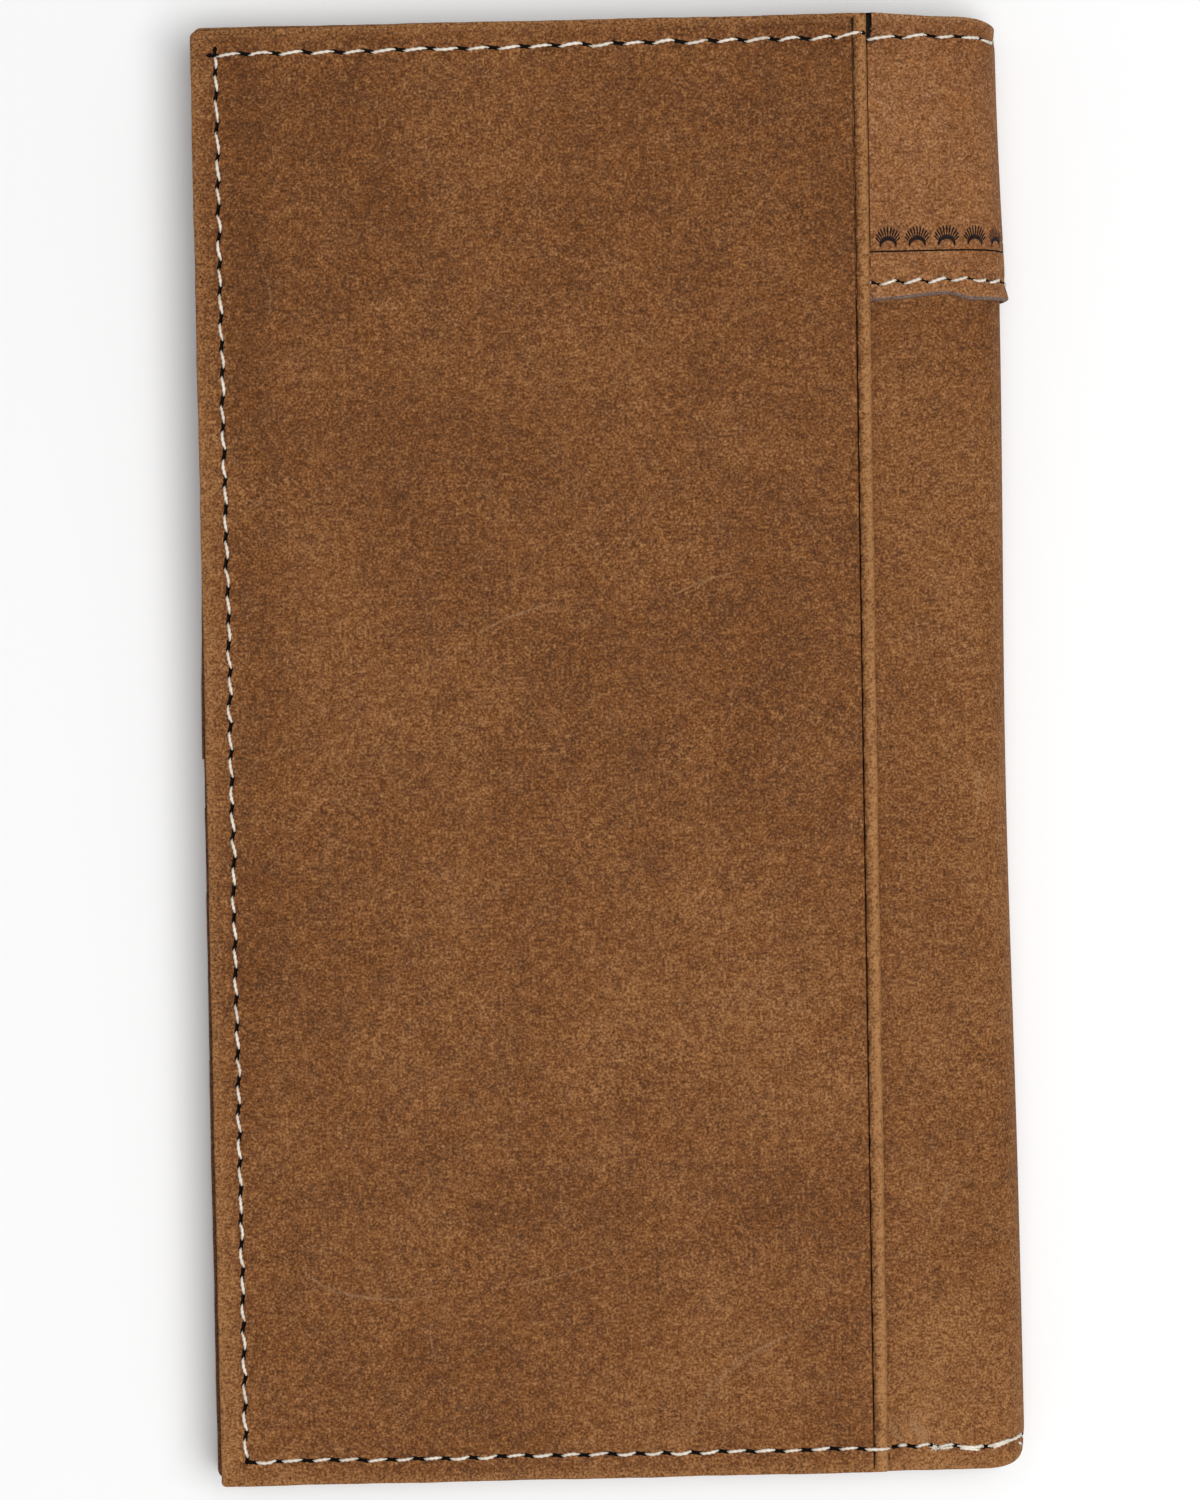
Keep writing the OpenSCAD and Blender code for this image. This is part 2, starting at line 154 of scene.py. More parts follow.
def area_light(name, place, size, power):
    """A square soft light that points at the middle of the cover from a place in metres."""
    data = bpy.data.lights.new(name, "AREA")
    data.shape = "SQUARE"
    data.size = size
    data.energy = power
    light = new_object(name, data)
    light.location = place
    light.rotation_euler = (-Vector(place)).to_track_quat("-Z", "Y").to_euler()


area_light("key_light", (0.20, -0.10, 0.85), 0.50, KEY_POWER)
area_light("fill_light", (0.06, 0.02, 1.00), 0.80, FILL_POWER)
world = bpy.data.worlds.new("studio")
world.use_nodes = True
world.node_tree.nodes["Background"].inputs["Color"].default_value = (1, 1, 1, 1)
world.node_tree.nodes["Background"].inputs["Strength"].default_value = WORLD_LIGHT
bpy.context.scene.world = world
bpy.context.scene.view_settings.view_transform = "Standard"
bpy.context.scene.view_settings.look = "None"

# %% [markdown]
# ## Shader helpers
# Every leather here shares one node group: fine grain, open pores, cloudy dye and worn places. A group is
# built once and placed in each material with its own colours and sizes. It reads a point attribute called
# hide, which holds the place on the flat sheet, so the grain follows the leather round the bend and stays
# with it when the cover opens.

# %% Make nodes shorter to write
def set_inputs(tree, node, inputs):
    """Links or sets a node's inputs."""
    for key, value in inputs.items():
        if isinstance(value, bpy.types.NodeSocket):
            tree.links.new(value, node.inputs[key])
        else:
            node.inputs[key].default_value = value


def node_maker(tree):
    """Returns a function that adds a node, sets its options, and links or sets its inputs."""
    def make(kind, inputs=None, **options):
        node = tree.nodes.new(kind)
        for option, value in options.items():
            setattr(node, option, value)
        set_inputs(tree, node, inputs or {})
        return node
    return make


def add_sockets(tree, inputs, outputs):
    """Gives a group its named sockets: {name: (kind, default)} in, {name: kind} out."""
    for socket, (kind, value) in inputs.items():
        made = tree.interface.new_socket(socket, in_out="INPUT", socket_type="NodeSocket" + kind)
        if value is not None:
            made.default_value = value
    for socket, kind in outputs.items():
        tree.interface.new_socket(socket, in_out="OUTPUT", socket_type="NodeSocket" + kind)


def maths(make, operation, *values, clamp=False):
    """One maths node, and its result."""
    return make("ShaderNodeMath", dict(enumerate(values)), operation=operation, use_clamp=clamp).outputs[0]


def blend_colour(make, share, first, second):
    """Mixes two colours by a share from 0 to 1."""
    return make("ShaderNodeMix", {0: share, 6: first, 7: second}, data_type="RGBA").outputs[2]


def noise(make, place, scale, detail, **more):
    """How strong a noise texture is at a place."""
    inputs = {"Vector": place, "Scale": scale, "Detail": detail, **more}
    return make("ShaderNodeTexNoise", inputs).outputs["Fac"]


def bump(make, height, depth, strength=1.0):
    """The normals of a face with fine relief. Depth is in millimetres."""
    relief = make("ShaderNodeBump", {"Height": height, "Distance": depth * MM, "Strength": strength})
    return relief.outputs["Normal"]


def from_mesh(make, name):
    """A value that the mesh carries at its points."""
    return make("ShaderNodeAttribute", attribute_name=name).outputs


# %% Build the leather group
COLOURS = ("Deep Colour", "Main Colour", "Pale Colour", "Cool Colour", "Scuff Colour")
WORKED = ("Tone", "Wear", "Scuff")


def leather_group():
    """Grain, pores, clouds of dye, rubbed edges and pale scuffs."""
    tree = bpy.data.node_groups.new("leather", "ShaderNodeTree")
    add_sockets(
        tree,
        {"Place": ("Vector", None), **dict.fromkeys(("Grain Size", *WORKED), ("Float", None)),
         **dict.fromkeys(COLOURS, ("Color", None))},
        {"Colour": "Color", "Roughness": "Float", "Height": "Float"},
    )
    make = node_maker(tree)
    given = make("NodeGroupInput").outputs
    place = given["Place"]
    per_metre = maths(make, "DIVIDE", 1000.0, given["Grain Size"])

    def about_zero(scale, detail, roughness, distortion=0.0):
        fac = noise(make, place, scale, detail, Roughness=roughness, Distortion=distortion)
        return maths(make, "SUBTRACT", fac, 0.5)

    grain = about_zero(per_metre, 3.0, 0.75)
    coarse = about_zero(maths(make, "MULTIPLY", per_metre, 0.3), 2.0, 0.6)
    pore_scale = maths(make, "MULTIPLY", per_metre, 0.55)
    pores = make("ShaderNodeTexVoronoi", {"Vector": place, "Scale": pore_scale, "Randomness": 0.9})
    pores = maths(make, "SUBTRACT", pores.outputs["Distance"], 0.45)
    patches = about_zero(140.0, 3.0, 0.6, 0.4)
    clouds = about_zero(26.0, 4.0, 0.62, 0.8)
    hue = about_zero(420.0, 2.0, 0.6, 0.6)

    value = maths(make, "MULTIPLY", grain, 3.6)
    for layer, share in ((coarse, 1.1), (pores, -0.32), (patches, 0.42), (clouds, 0.75)):
        value = maths(make, "MULTIPLY_ADD", layer, share, value)
    # The mesh's tone: darker and paler places of the hide, and with them the painted highlight on the bead,
    # the partly painted gradient on the panel and the painted shadow beside the panel's mouth.
    value = maths(make, "ADD", value, given["Tone"])
    deep = maths(make, "MULTIPLY", value, -1.6, clamp=True)
    pale = maths(make, "MULTIPLY", value, 1.3, clamp=True)
    cool = maths(make, "MULTIPLY_ADD", hue, 2.4, 0.3, clamp=True)
    colour = blend_colour(make, cool, given["Main Colour"], given["Cool Colour"])
    colour = blend_colour(make, deep, colour, given["Deep Colour"])
    colour = blend_colour(make, pale, colour, given["Pale Colour"])

    broken = maths(make, "MULTIPLY_ADD", grain, 4.0, 0.45, clamp=True)
    wear = maths(make, "MULTIPLY", given["Wear"], broken, clamp=True)
    colour = blend_colour(make, wear, colour, given["Pale Colour"])
    streak = maths(make, "MULTIPLY_ADD", grain, 3.0, 0.5)
    streak = maths(make, "MULTIPLY_ADD", patches, 1.4, streak, clamp=True)
    scuff = maths(make, "MULTIPLY", given["Scuff"], streak, clamp=True)
    colour = blend_colour(make, scuff, colour, given["Scuff Colour"])

    rough = maths(make, "MULTIPLY_ADD", value, 0.12, 0.80, clamp=True)
    height = maths(make, "MULTIPLY_ADD", pores, 0.6, grain)
    height = maths(make, "MULTIPLY_ADD", coarse, 0.7, height)
    make("NodeGroupOutput", {"Colour": colour, "Roughness": rough, "Height": height})
    return tree


LEATHER_GROUP = leather_group()
print("leather group:", len(LEATHER_GROUP.nodes), "nodes")


# %% Mix the leathers
SCUFFED = (0.32, 0.175, 0.085)
COOLER = (0.8, 0.88, 1.25)


def new_material(name):
    """A material, the function that adds nodes to it, and the function that sets its shader's inputs."""
    material = bpy.data.materials.new(name)
    material.use_nodes = True
    tree = material.node_tree
    shader = tree.nodes["Principled BSDF"]
    return material, node_maker(tree), lambda inputs: set_inputs(tree, shader, inputs)


def leather(name, deep, main, pale, grain=0.30, depth=0.05, sheen=0.03):
    """A leather that reads the sheet's own attributes. Grain is its size and depth its relief, in
    millimetres."""
    material, make, finish = new_material(name)
    cool = [shade * share for shade, share in zip(main, COOLER)]
    group = make("ShaderNodeGroup", {
        "Place": from_mesh(make, "hide")["Vector"], "Grain Size": grain,
        **{socket: from_mesh(make, socket.lower())["Fac"] for socket in WORKED},
        **{socket: (*colour, 1) for socket, colour in zip(COLOURS, (deep, main, pale, cool, SCUFFED))},
    }, node_tree=LEATHER_GROUP).outputs
    finish({
        "Base Color": group["Colour"], "Roughness": group["Roughness"],
        "Normal": bump(make, group["Height"], depth), "Specular IOR Level": 0.15,
        "Sheen Weight": sheen, "Sheen Roughness": 0.5, "Sheen Tint": (*pale, 1),
    })
    return material


outer_leather = leather("outer_leather", (0.060, 0.020, 0.004), (0.175, 0.061, 0.015), (0.39, 0.19, 0.072))
yoke_leather = leather("yoke_leather", (0.085, 0.030, 0.006), (0.240, 0.090, 0.027), (0.45, 0.228, 0.098))
inner_leather = leather(
    "inner_leather", (0.06, 0.022, 0.009), (0.135, 0.053, 0.021), (0.26, 0.12, 0.055), grain=0.36, depth=0.03
)
raw_edge = leather(
    "raw_edge", (0.06, 0.035, 0.026), (0.17, 0.105, 0.078), (0.30, 0.21, 0.165), grain=0.22, depth=0.08
)
lining_suede = leather(
    "lining_suede", (0.055, 0.028, 0.016), (0.12, 0.062, 0.036), (0.22, 0.13, 0.08), grain=0.25, sheen=0.35
)
print("leathers: outer, yoke, inner, raw edge and lining")


# %% Mix the dark tooling, the needle holes, the thread and the clear window
def burn_and_hole_shade(name, colour, rough):
    """Burnt leather for the bottom of a stamp, and near-black painted shade for needle holes and gaps."""
    material, make, finish = new_material(name)
    specks = noise(make, from_mesh(make, "hide")["Vector"], 3200.0, 2.0)
    share = maths(make, "MULTIPLY_ADD", specks, 1.6, -0.5, clamp=True)
    shade = blend_colour(make, share, (*[c * 0.5 for c in colour], 1), (*[c * 1.8 for c in colour], 1))
    normal = bump(make, specks, 0.03)
    finish({"Base Color": shade, "Normal": normal, "Roughness": rough, "Specular IOR Level": 0.1})
    return material


def thread_finish():
    """Waxed cream thread, a little dirtier in places."""
    material, make, finish = new_material("thread")
    place = make("ShaderNodeTexCoord").outputs["Object"]
    dirt = maths(make, "MULTIPLY_ADD", noise(make, place, 420.0, 2.0), 2.0, -0.75, clamp=True)
    finish({
        "Base Color": blend_colour(make, dirt, (0.80, 0.73, 0.63, 1), (0.50, 0.42, 0.33, 1)),
        "Normal": bump(make, noise(make, place, 9000.0, 1.0), 0.015), "Roughness": 0.55, "Sheen Weight": 0.2,
    })
    return material


def vinyl_finish():
    """Clear soft vinyl with faint waves and rub marks."""
    material, make, finish = new_material("clear_vinyl")
    place = make("ShaderNodeTexCoord").outputs["Object"]
    finish({
        "Base Color": (0.93, 0.95, 0.95, 1), "Transmission Weight": 1.0, "IOR": 1.45,
        "Roughness": maths(make, "MULTIPLY", noise(make, place, 900.0, 3.0), 0.25, clamp=True),
        "Normal": bump(make, noise(make, place, 60.0, 2.0), 0.3, strength=0.5),
    })
    return material


# The needle holes, and the notch beside the bead's head, are painted near black: painted shade in the
# hollows.
needle_hole = burn_and_hole_shade("needle_hole", (0.012, 0.008, 0.006), 0.9)
tooling = burn_and_hole_shade("tooling", (0.022, 0.014, 0.013), 0.6)
thread = thread_finish()
clear_vinyl = vinyl_finish()
WORKED_IN = (needle_hole, tooling, raw_edge)
print("finishes: needle hole, tooling, thread and clear vinyl")

# %% [markdown]
# ## From a flat sheet to a place in the cover
# A layer of the cover can be flat, face up or face down, or it can run round the spine. Each layer gets a
# function that carries points of its flat pattern to their place. All of them end in the same small, smooth
# departures from the ideal shape: the real spine is drawn in at its head, where the seam pulls it tight,
# and has a slight waist.

# %% Carry patterns into place
HEAD_PINCH = 0.75
HEAD_REACH = 30.0
WAIST = 0.5
WAIST_Y = -5.0
WAIST_REACH = 34.5
SAG = 0.6
SAG_REACH = 50.0


def smooth(share):
    """Eases from 0 to 1."""
    share = np.clip(share, 0, 1)
    return share * share * (3 - 2 * share)


def hump(x, middle, width):
    """A soft hump, 1 at its middle."""
    return np.exp(-(((x - middle) / width) ** 2))


def settle(x, y, z):
    """The yoke lifts the head of the cover off the table by its own thickness, and the rest sinks down."""
    return np.stack([x, y, z - SAG * smooth((YOKE_Y - y) / SAG_REACH)], -1)


def drawn_in(y):
    """How far the seam pulls the spine in at its head, and how far it has worn to a waist."""
    head = HEAD_PINCH * np.sin(math.pi / 2 * np.clip((y - YOKE_Y) / HEAD_REACH, 0, 1))
    return head + WAIST * hump(y, WAIST_Y, WAIST_REACH)


def face_up(level, way=1):
    """A flat sheet whose good side looks up, from its lower face's level."""
    def place(flat, height):
        return settle(flat[:, 0], flat[:, 1], level + way * height)
    place.mirrored = way < 0
    return place


def face_down(level):
    """A flat sheet whose good side looks down, from its upper face's level."""
    return face_up(level, way=-1)


def round_spine(radius):
    """A layer that bends. The first number of its pattern runs from the front leaf, where it is below 0, to
    the back leaf. Heights are measured outwards from the layer's outer face."""
    bend_length = math.pi * radius

    def place(flat, height):
        along, y = flat[:, 0], flat[:, 1]
        angle = np.clip(along, 0, bend_length) / radius
        reach = radius + height - drawn_in(y) * np.sin(angle) ** 2
        x = BEND_X + reach * np.sin(angle) + np.minimum(along, 0) - np.maximum(along - bend_length, 0)
        return settle(x, y, BEND_Z - reach * np.cos(angle))
    place.mirrored = True
    return place


def ripple(flat, size, seed):
    """Gentle waves of a few centimetres, as in leather that has been carried."""
    draw = np.random.default_rng(seed)
    total = np.zeros(len(flat))
    for length in (17.0, 23.0, 31.0, 44.0):
        heading = draw.uniform(0, 2 * math.pi)
        phase = draw.uniform(0, 2 * math.pi)
        way = flat[:, 0] * math.cos(heading) + flat[:, 1] * math.sin(heading)
        total += np.sin(2 * math.pi * way / length + phase)
    return size * total / 4


# %% [markdown]
# ## A sheet of leather as a mesh
# The pattern of a sheet is an outline with lines worked into it: needle holes, stamps, creases and scuffs.
# A constrained Delaunay triangulation makes a clean mesh of all of these at once. The face is finely
# divided only where something happens, and every mark is real relief. Rings just inside the outline round
# the edges, and a wall joins the two faces, so that each piece is closed.

# %% Draw outlines
QUARTER = math.pi / 2
ARC_STEP = 0.25


def rounded_outline(corners, radii, step=1.0, wander=0.0, seed=0):
    """Points round a polygon, anticlockwise, with round corners. Wander moves the cut edge in and out a
    little."""
    corners = np.array(corners, float)
    points = []
    for index, (corner, radius) in enumerate(zip(corners, radii)):
        following = (index + 1) % len(corners)
        back = corners[index - 1] - corner
        ahead = corners[following] - corner
        back /= np.linalg.norm(back)
        ahead /= np.linalg.norm(ahead)
        if radius > 0:
            pieces = max(3, int(radius * QUARTER / ARC_STEP))
            for angle in np.linspace(0, 1, pieces + 1) * QUARTER:
                points.append(corner + back * radius * (1 - math.sin(angle))
                              + ahead * radius * (1 - math.cos(angle)))
        else:
            points.append(corner)
        stop = corner + ahead * radius
        leave = corners[following] - ahead * radii[following]
        steps = max(1, int(np.linalg.norm(leave - stop) / step))
        for share in np.arange(1, steps) / steps:
            points.append(stop + (leave - stop) * share)
    loop = np.array(points)
    if wander > 0:
        draw = np.random.default_rng(seed)
        length = np.concatenate([[0], np.cumsum(np.linalg.norm(np.diff(loop, axis=0), axis=1))])
        waves = sum(
            np.sin(2 * math.pi * length / wave + draw.uniform(0, 6.3)) * share
            for wave, share in ((4.3, 0.3), (9.1, 0.4), (23.0, 0.7))
        )
        loop = loop + (inset(loop, 1.0) - loop) * (wander * (waves + 1))[:, None]
    return loop


def inset(loop, distance):
    """The outline moved inwards."""
    ahead = np.roll(loop, -1, 0) - loop
    ahead = ahead / np.linalg.norm(ahead, axis=1)[:, None]
    side = np.stack([-ahead[:, 1], ahead[:, 0]], 1)
    inward = side + np.roll(side, 1, 0)
    inward = inward / np.einsum("ij,ij->i", inward, side)[:, None]
    return loop + distance * inward


def split_at(loop, cuts):
    """The outline with a point wherever it crosses a cut, so that both sides of the cut share it."""
    for cut in cuts:
        points = []
        for start, stop in zip(loop, np.roll(loop, -1, 0)):
            points.append(start)
            if (start[0] - cut) * (stop[0] - cut) < 0:
                share = (cut - start[0]) / (stop[0] - start[0])
                points.append(np.array([cut, start[1] + share * (stop[1] - start[1])]))
        loop = np.array(points)
    return loop


def distance_to(points, loops):
    """Distance of each point to the nearest of some closed outlines, by way of their nearest corner."""
    corners = np.concatenate(loops)
    before = np.concatenate([np.roll(loop, 1, 0) for loop in loops])
    after = np.concatenate([np.roll(loop, -1, 0) for loop in loops])
    tree = KDTree(len(corners))
    for index, (x, y) in enumerate(corners):
        tree.insert((x, y, 0), index)
    tree.balance()
    nearest = [tree.find((x, y, 0))[1] for x, y in points]
    best = np.full(len(points), 1e9)
    for far in (before[nearest], after[nearest]):
        edge = far - corners[nearest]
        offset = points - corners[nearest]
        share = np.clip((offset * edge).sum(1) / (edge * edge).sum(1), 0, 1)
        best = np.minimum(best, np.linalg.norm(offset - share[:, None] * edge, axis=1))
    return best


def is_inside(points, loop):
    """Whether each point lies inside an outline."""
    inside = np.zeros(len(points), bool)
    for start, stop in zip(loop, np.roll(loop, -1, 0)):
        if start[1] == stop[1]:
            continue
        spans = (start[1] > points[:, 1]) != (stop[1] > points[:, 1])
        reach = start[0] + (points[:, 1] - start[1]) / (stop[1] - start[1]) * (stop[0] - start[0])
        inside ^= spans & (points[:, 0] < reach)
    return inside


def keep_clear(points, taken, gap):
    """The points that are not within about one gap of a taken one."""
    def key(cells):
        return cells[:, 0] * 100003 + cells[:, 1]
    cells = np.floor(points / gap).astype(int)
    used = np.floor(taken / gap).astype(int)
    near = np.zeros(len(points), bool)
    for step_x in (-1, 0, 1):
        for step_y in (-1, 0, 1):
            near |= np.isin(key(cells), key(used + (step_x, step_y)))
    return points[~near]


# %% Work lines into a sheet
def stroke(path, widths, depth, kind):
    """A line of changing width that is pressed in along its middle. Kind is hole, tool, crease or scuff."""
    return {"path": np.array(path, float), "half": np.array(widths, float) / 2, "depth": depth, "kind": kind}


def stroke_outline(mark):
    """The closed outline of a stroke, anticlockwise."""
    path, half = mark["path"], mark["half"][:, None]
    heading = np.gradient(path, axis=0)
    heading = heading / np.linalg.norm(heading, axis=1)[:, None]
    side = np.stack([-heading[:, 1], heading[:, 0]], 1) * half
    return np.concatenate([path - side, (path + side)[::-1]])


def stroke_value(points, mark):
    """1 on the middle line of a stroke, 0 at its outline and beyond."""
    path, half = mark["path"], mark["half"]
    value = np.zeros(len(points))
    reach = half.max() + 0.01
    near = np.all((points > path.min(0) - reach) & (points < path.max(0) + reach), axis=1)
    chosen = points[near]
    if not len(chosen):
        return value
    found = np.zeros(len(chosen))
    for index in range(len(path) - 1):
        edge = path[index + 1] - path[index]
        share = np.clip((chosen - path[index]) @ edge / (edge @ edge), 0, 1)
        gap = np.linalg.norm(chosen - path[index] - share[:, None] * edge, axis=1)
        width = half[index] + share * (half[index + 1] - half[index])
        found = np.maximum(found, 1 - gap / np.maximum(width, 1e-6))
    value[near] = found
    return value


# %% Triangulate a sheet
ROUNDING = (0.076, 0.293, 0.617, 1.0)
GUARD = 0.03
CLEAR_GAP = 0.2


def triangulate(outline, holes, cuts, marks, lines, points, rounding):
    """Triangles of a flat sheet, the marks that each lies in, and where the outlines' points went."""
    loops = [outline, *holes]
    loop_points = np.concatenate(loops)
    stroke_loops = [stroke_outline(mark) for mark in marks]
    stroke_mids = [mark["path"][1:-1] for mark in marks]
    rings = [inset(loop, rounding * share) for loop in loops for share in ROUNDING]
    taken = np.concatenate([loop_points, *rings, *stroke_loops, *stroke_mids, *lines])
    points = keep_clear(points, taken, CLEAR_GAP) if len(points) else points
    pattern, faces, edges = [], [], []
    total = 0

    def add(group):
        nonlocal total
        pattern.append(group)
        first = total
        total += len(group)
        return list(range(first, total))

    for loop in loops:
        faces.append(add(loop))
    for ring in rings:
        add(ring)
    for loop in stroke_loops:
        faces.append(add(loop))
    for path in [*stroke_mids, *lines]:
        ids = add(path)
        edges += list(zip(ids, ids[1:]))
    for cut in cuts:
        ends = sorted((index for index, point in enumerate(loop_points) if abs(point[0] - cut) < 1e-9),
                      key=lambda index: loop_points[index][1])
        edges.append((ends[0], ends[-1]))
    add(points)
    flat = [Vector(point) for point in np.concatenate(pattern)]
    faces = [face if index == 0 or index > len(holes) else face[::-1] for index, face in enumerate(faces)]
    found, _, triangles, came_from, _, face_from = delaunay_2d_cdt(flat, edges, faces, 1, 1e-5)
    where = {}
    for index, sources in enumerate(came_from):
        for source in sources:
            where[source] = index
    hole_ids = set(range(1, len(loops)))
    kept, inside_of = [], []
    for triangle, sources in zip(triangles, face_from):
        if 0 in sources and not hole_ids & set(sources):
            kept.append(triangle)
            inside_of.append([source - len(loops) for source in sources if source >= len(loops)])
    ends = [where[index] for index in range(len(loop_points))]
    return np.array([tuple(point) for point in found]), kept, inside_of, ends


# %% Build a sheet
KINDS = {"hole": 1, "tool": 2, "crease": 0, "scuff": 0}
EDGE_SLOT = 3
SHARP_ANGLE = math.radians(40)
GUARD_STEP = 1.5
EDGE_CLEAR = 0.12
ON_CUT = 1e-4
NO_POINTS = np.zeros((0, 2))


def grid(columns, rows):
    """Points of a grid."""
    x, y = np.meshgrid(columns, rows)
    return np.stack([x.ravel(), y.ravel()], 1)


def spaced(start, stop, step):
    """Evenly spread numbers between two, about a step apart."""
    return np.linspace(start, stop, max(2, int(round((stop - start) / step)) + 1))


def no_relief(flat):
    """A face with nothing on it."""
    return np.zeros(len(flat))


def store(mesh, name, values, kind="FLOAT"):
    """Saves a number, or a vector, for every point of a mesh."""
    values = np.ravel(values).astype(np.int32 if kind == "INT" else np.float32)
    key = "vector" if kind == "FLOAT_VECTOR" else "value"
    mesh.attributes.new(name, kind, "POINT").data.foreach_set(key, values)


def divide(outline, holes, cuts, marks, lines, points, rounding):
    """One side of a sheet in triangles, and each point's distance from an edge and drop near it."""
    loops = [outline, *holes]
    if cuts:
        rows = spaced(outline[:, 1].min(), outline[:, 1].max(), GUARD_STEP)[1:-1]
        guards = grid([cut + side for cut in cuts for side in (-GUARD, 0, GUARD)], rows)
        points = np.concatenate([points, guards])
    points = points[is_inside(points, outline)]
    for hole in holes:
        points = points[~is_inside(points, hole)]
    points = points[distance_to(points, loops) > rounding + EDGE_CLEAR]
    flat, triangles, inside_of, ends = triangulate(outline, holes, cuts, marks, lines, points, rounding)
    away = distance_to(flat, loops)
    drop = rounding - np.sqrt(np.maximum(rounding**2 - np.maximum(rounding - away, 0) ** 2, 0))
    return flat, triangles, inside_of, ends, away, drop


def close_cut(flat, cut, upper_count):
    """The face that closes a stretch at a cut: along the upper side, and back along the lower one."""
    on_cut = np.where(np.abs(flat[:, 0] - cut) < ON_CUT)[0]
    upper_ids = sorted((i for i in on_cut if i < upper_count), key=lambda i: flat[i, 1])
    lower_ids = sorted((i for i in on_cut if i >= upper_count), key=lambda i: -flat[i, 1])
    return [*upper_ids, *lower_ids]


def sheet(name, place, outline, thickness, materials, points, under_points=NO_POINTS, holes=(), cuts=(),
          marks=(), lines=(), face=no_relief, under=no_relief, rounding=0.28, under_rounding=0.12,
          tone=no_relief, band=None, wear_reach=1.1, hide_offset=(0, 0), thick_from_top=False):
    """Makes a closed sheet, or one object for each stretch between cuts. Heights run from 0 at the lower
    face to the thickness, or from minus the thickness to 0 where the layer is measured from its outer
    face."""
    base = -thickness if thick_from_top else 0.0
    outline = split_at(outline, cuts)
    holes = [hole[::-1] for hole in holes]
    upper_flat, triangles, inside_of, upper_ends, upper_away, drop = divide(
        outline, holes, cuts, marks, lines, points, rounding
    )
    lower_flat, lower_triangles, _, lower_ends, lower_away, lower_drop = divide(
        outline, holes, cuts, [], [], under_points, under_rounding
    )
    upper_count = len(upper_flat)
    upper_height = base + thickness + face(upper_flat) - drop
    upper_scuff = np.zeros(upper_count)
    for mark in marks:
        value = stroke_value(upper_flat, mark)
        upper_height = upper_height - mark["depth"] * value
        if mark["kind"] == "scuff":
            upper_scuff = np.maximum(upper_scuff, value)
    flat = np.concatenate([upper_flat, lower_flat])
    height = np.concatenate([upper_height, base + under(lower_flat) + lower_drop])
    away = np.concatenate([upper_away, lower_away])
    worked = {
        "wear": np.clip(1 - away / wear_reach, 0, 1) ** 1.5,
        "tone": tone(flat),
        "scuff": np.concatenate([upper_scuff, np.zeros(len(lower_flat))]),
    }
    world = place(flat, height) * MM

    faces = [list(triangle) for triangle in triangles]
    slots = [max([KINDS[marks[source]["kind"]] for source in sources], default=0) for sources in inside_of]
    faces += [[index + upper_count for index in triangle][::-1] for triangle in lower_triangles]
    slots += [0] * len(lower_triangles)
    if band is not None:
        middles = np.array([flat[ids].mean(0) for ids in faces])
        slots = [slot or int(other) for slot, other in zip(slots, band(middles))]
    first = 0
    for loop in (outline, *holes):
        ring = list(range(first, first + len(loop)))
        for here, there in zip(ring, [*ring[1:], first]):
            faces.append([lower_ends[here] + upper_count, lower_ends[there] + upper_count,
                          upper_ends[there], upper_ends[here]])
            slots.append(EDGE_SLOT)
        first += len(loop)

    zone_of = [int(np.searchsorted(cuts, flat[ids, 0].mean())) for ids in faces]
    made = []
    for zone in range(len(cuts) + 1):
        zone_faces = [ids for ids, its_zone in zip(faces, zone_of) if its_zone == zone]
        zone_slots = [slot for slot, its_zone in zip(slots, zone_of) if its_zone == zone]
        if zone > 0:
            zone_faces.append(close_cut(flat, cuts[zone - 1], upper_count))
            zone_slots.append(EDGE_SLOT)
        if zone < len(cuts):
            zone_faces.append(close_cut(flat, cuts[zone], upper_count)[::-1])
            zone_slots.append(EDGE_SLOT)
        used = sorted({index for ids in zone_faces for index in ids})
        new_id = {old: new for new, old in enumerate(used)}
        turned = [[new_id[i] for i in (ids[::-1] if place.mirrored else ids)] for ids in zone_faces]
        mesh = bpy.data.meshes.new(name)
        mesh.from_pydata([tuple(point) for point in world[used]], [], turned)
        for material in materials:
            mesh.materials.append(material)
        mesh.polygons.foreach_set("material_index", zone_slots)
        store(mesh, "hide", np.column_stack([flat[used] + hide_offset, height[used]]) * MM, "FLOAT_VECTOR")
        for label, values in worked.items():
            store(mesh, label, values[used])
        mesh.shade_smooth()
        mesh.set_sharp_from_angle(angle=SHARP_ANGLE)
        mesh.validate()
        made.append(new_object(f"{name}_{zone + 1}" if cuts else name, mesh))
    print(f"{name}: {sum(len(piece.data.polygons) for piece in made)} faces")
    return made


# %% [markdown]
# ## Seams
# A machine seam is a row of stitches of even length. Each one dives into a needle hole at both ends, and
# from the end of one stitch to the start of the next runs a slit that the needle left, pressed in and painted
# dark as the shade inside it. The rows are worked out first, because the leather needs the holes and a
# channel under the thread, and the thread needs the same places.

# %% Lay out a row of stitches
CHANNEL_DEPTH = 0.13
CHANNEL_WIDTH = 0.85
THREAD = 0.44
BOBBIN = 0.36
CHANNEL_STEPS = (-1.5, -0.95, -0.5, 0.5, 0.95, 1.5)
SLIT_SHARES = np.array([0, 0.12, 0.3, 0.45, 0.55, 0.7, 0.88, 1.0])
PITCH = 3.22
HEAD_PITCH = 3.65
ALONG_STRAY = 0.05
LEAN_STRAY = 0.035
ASIDE_STRAY = 0.045


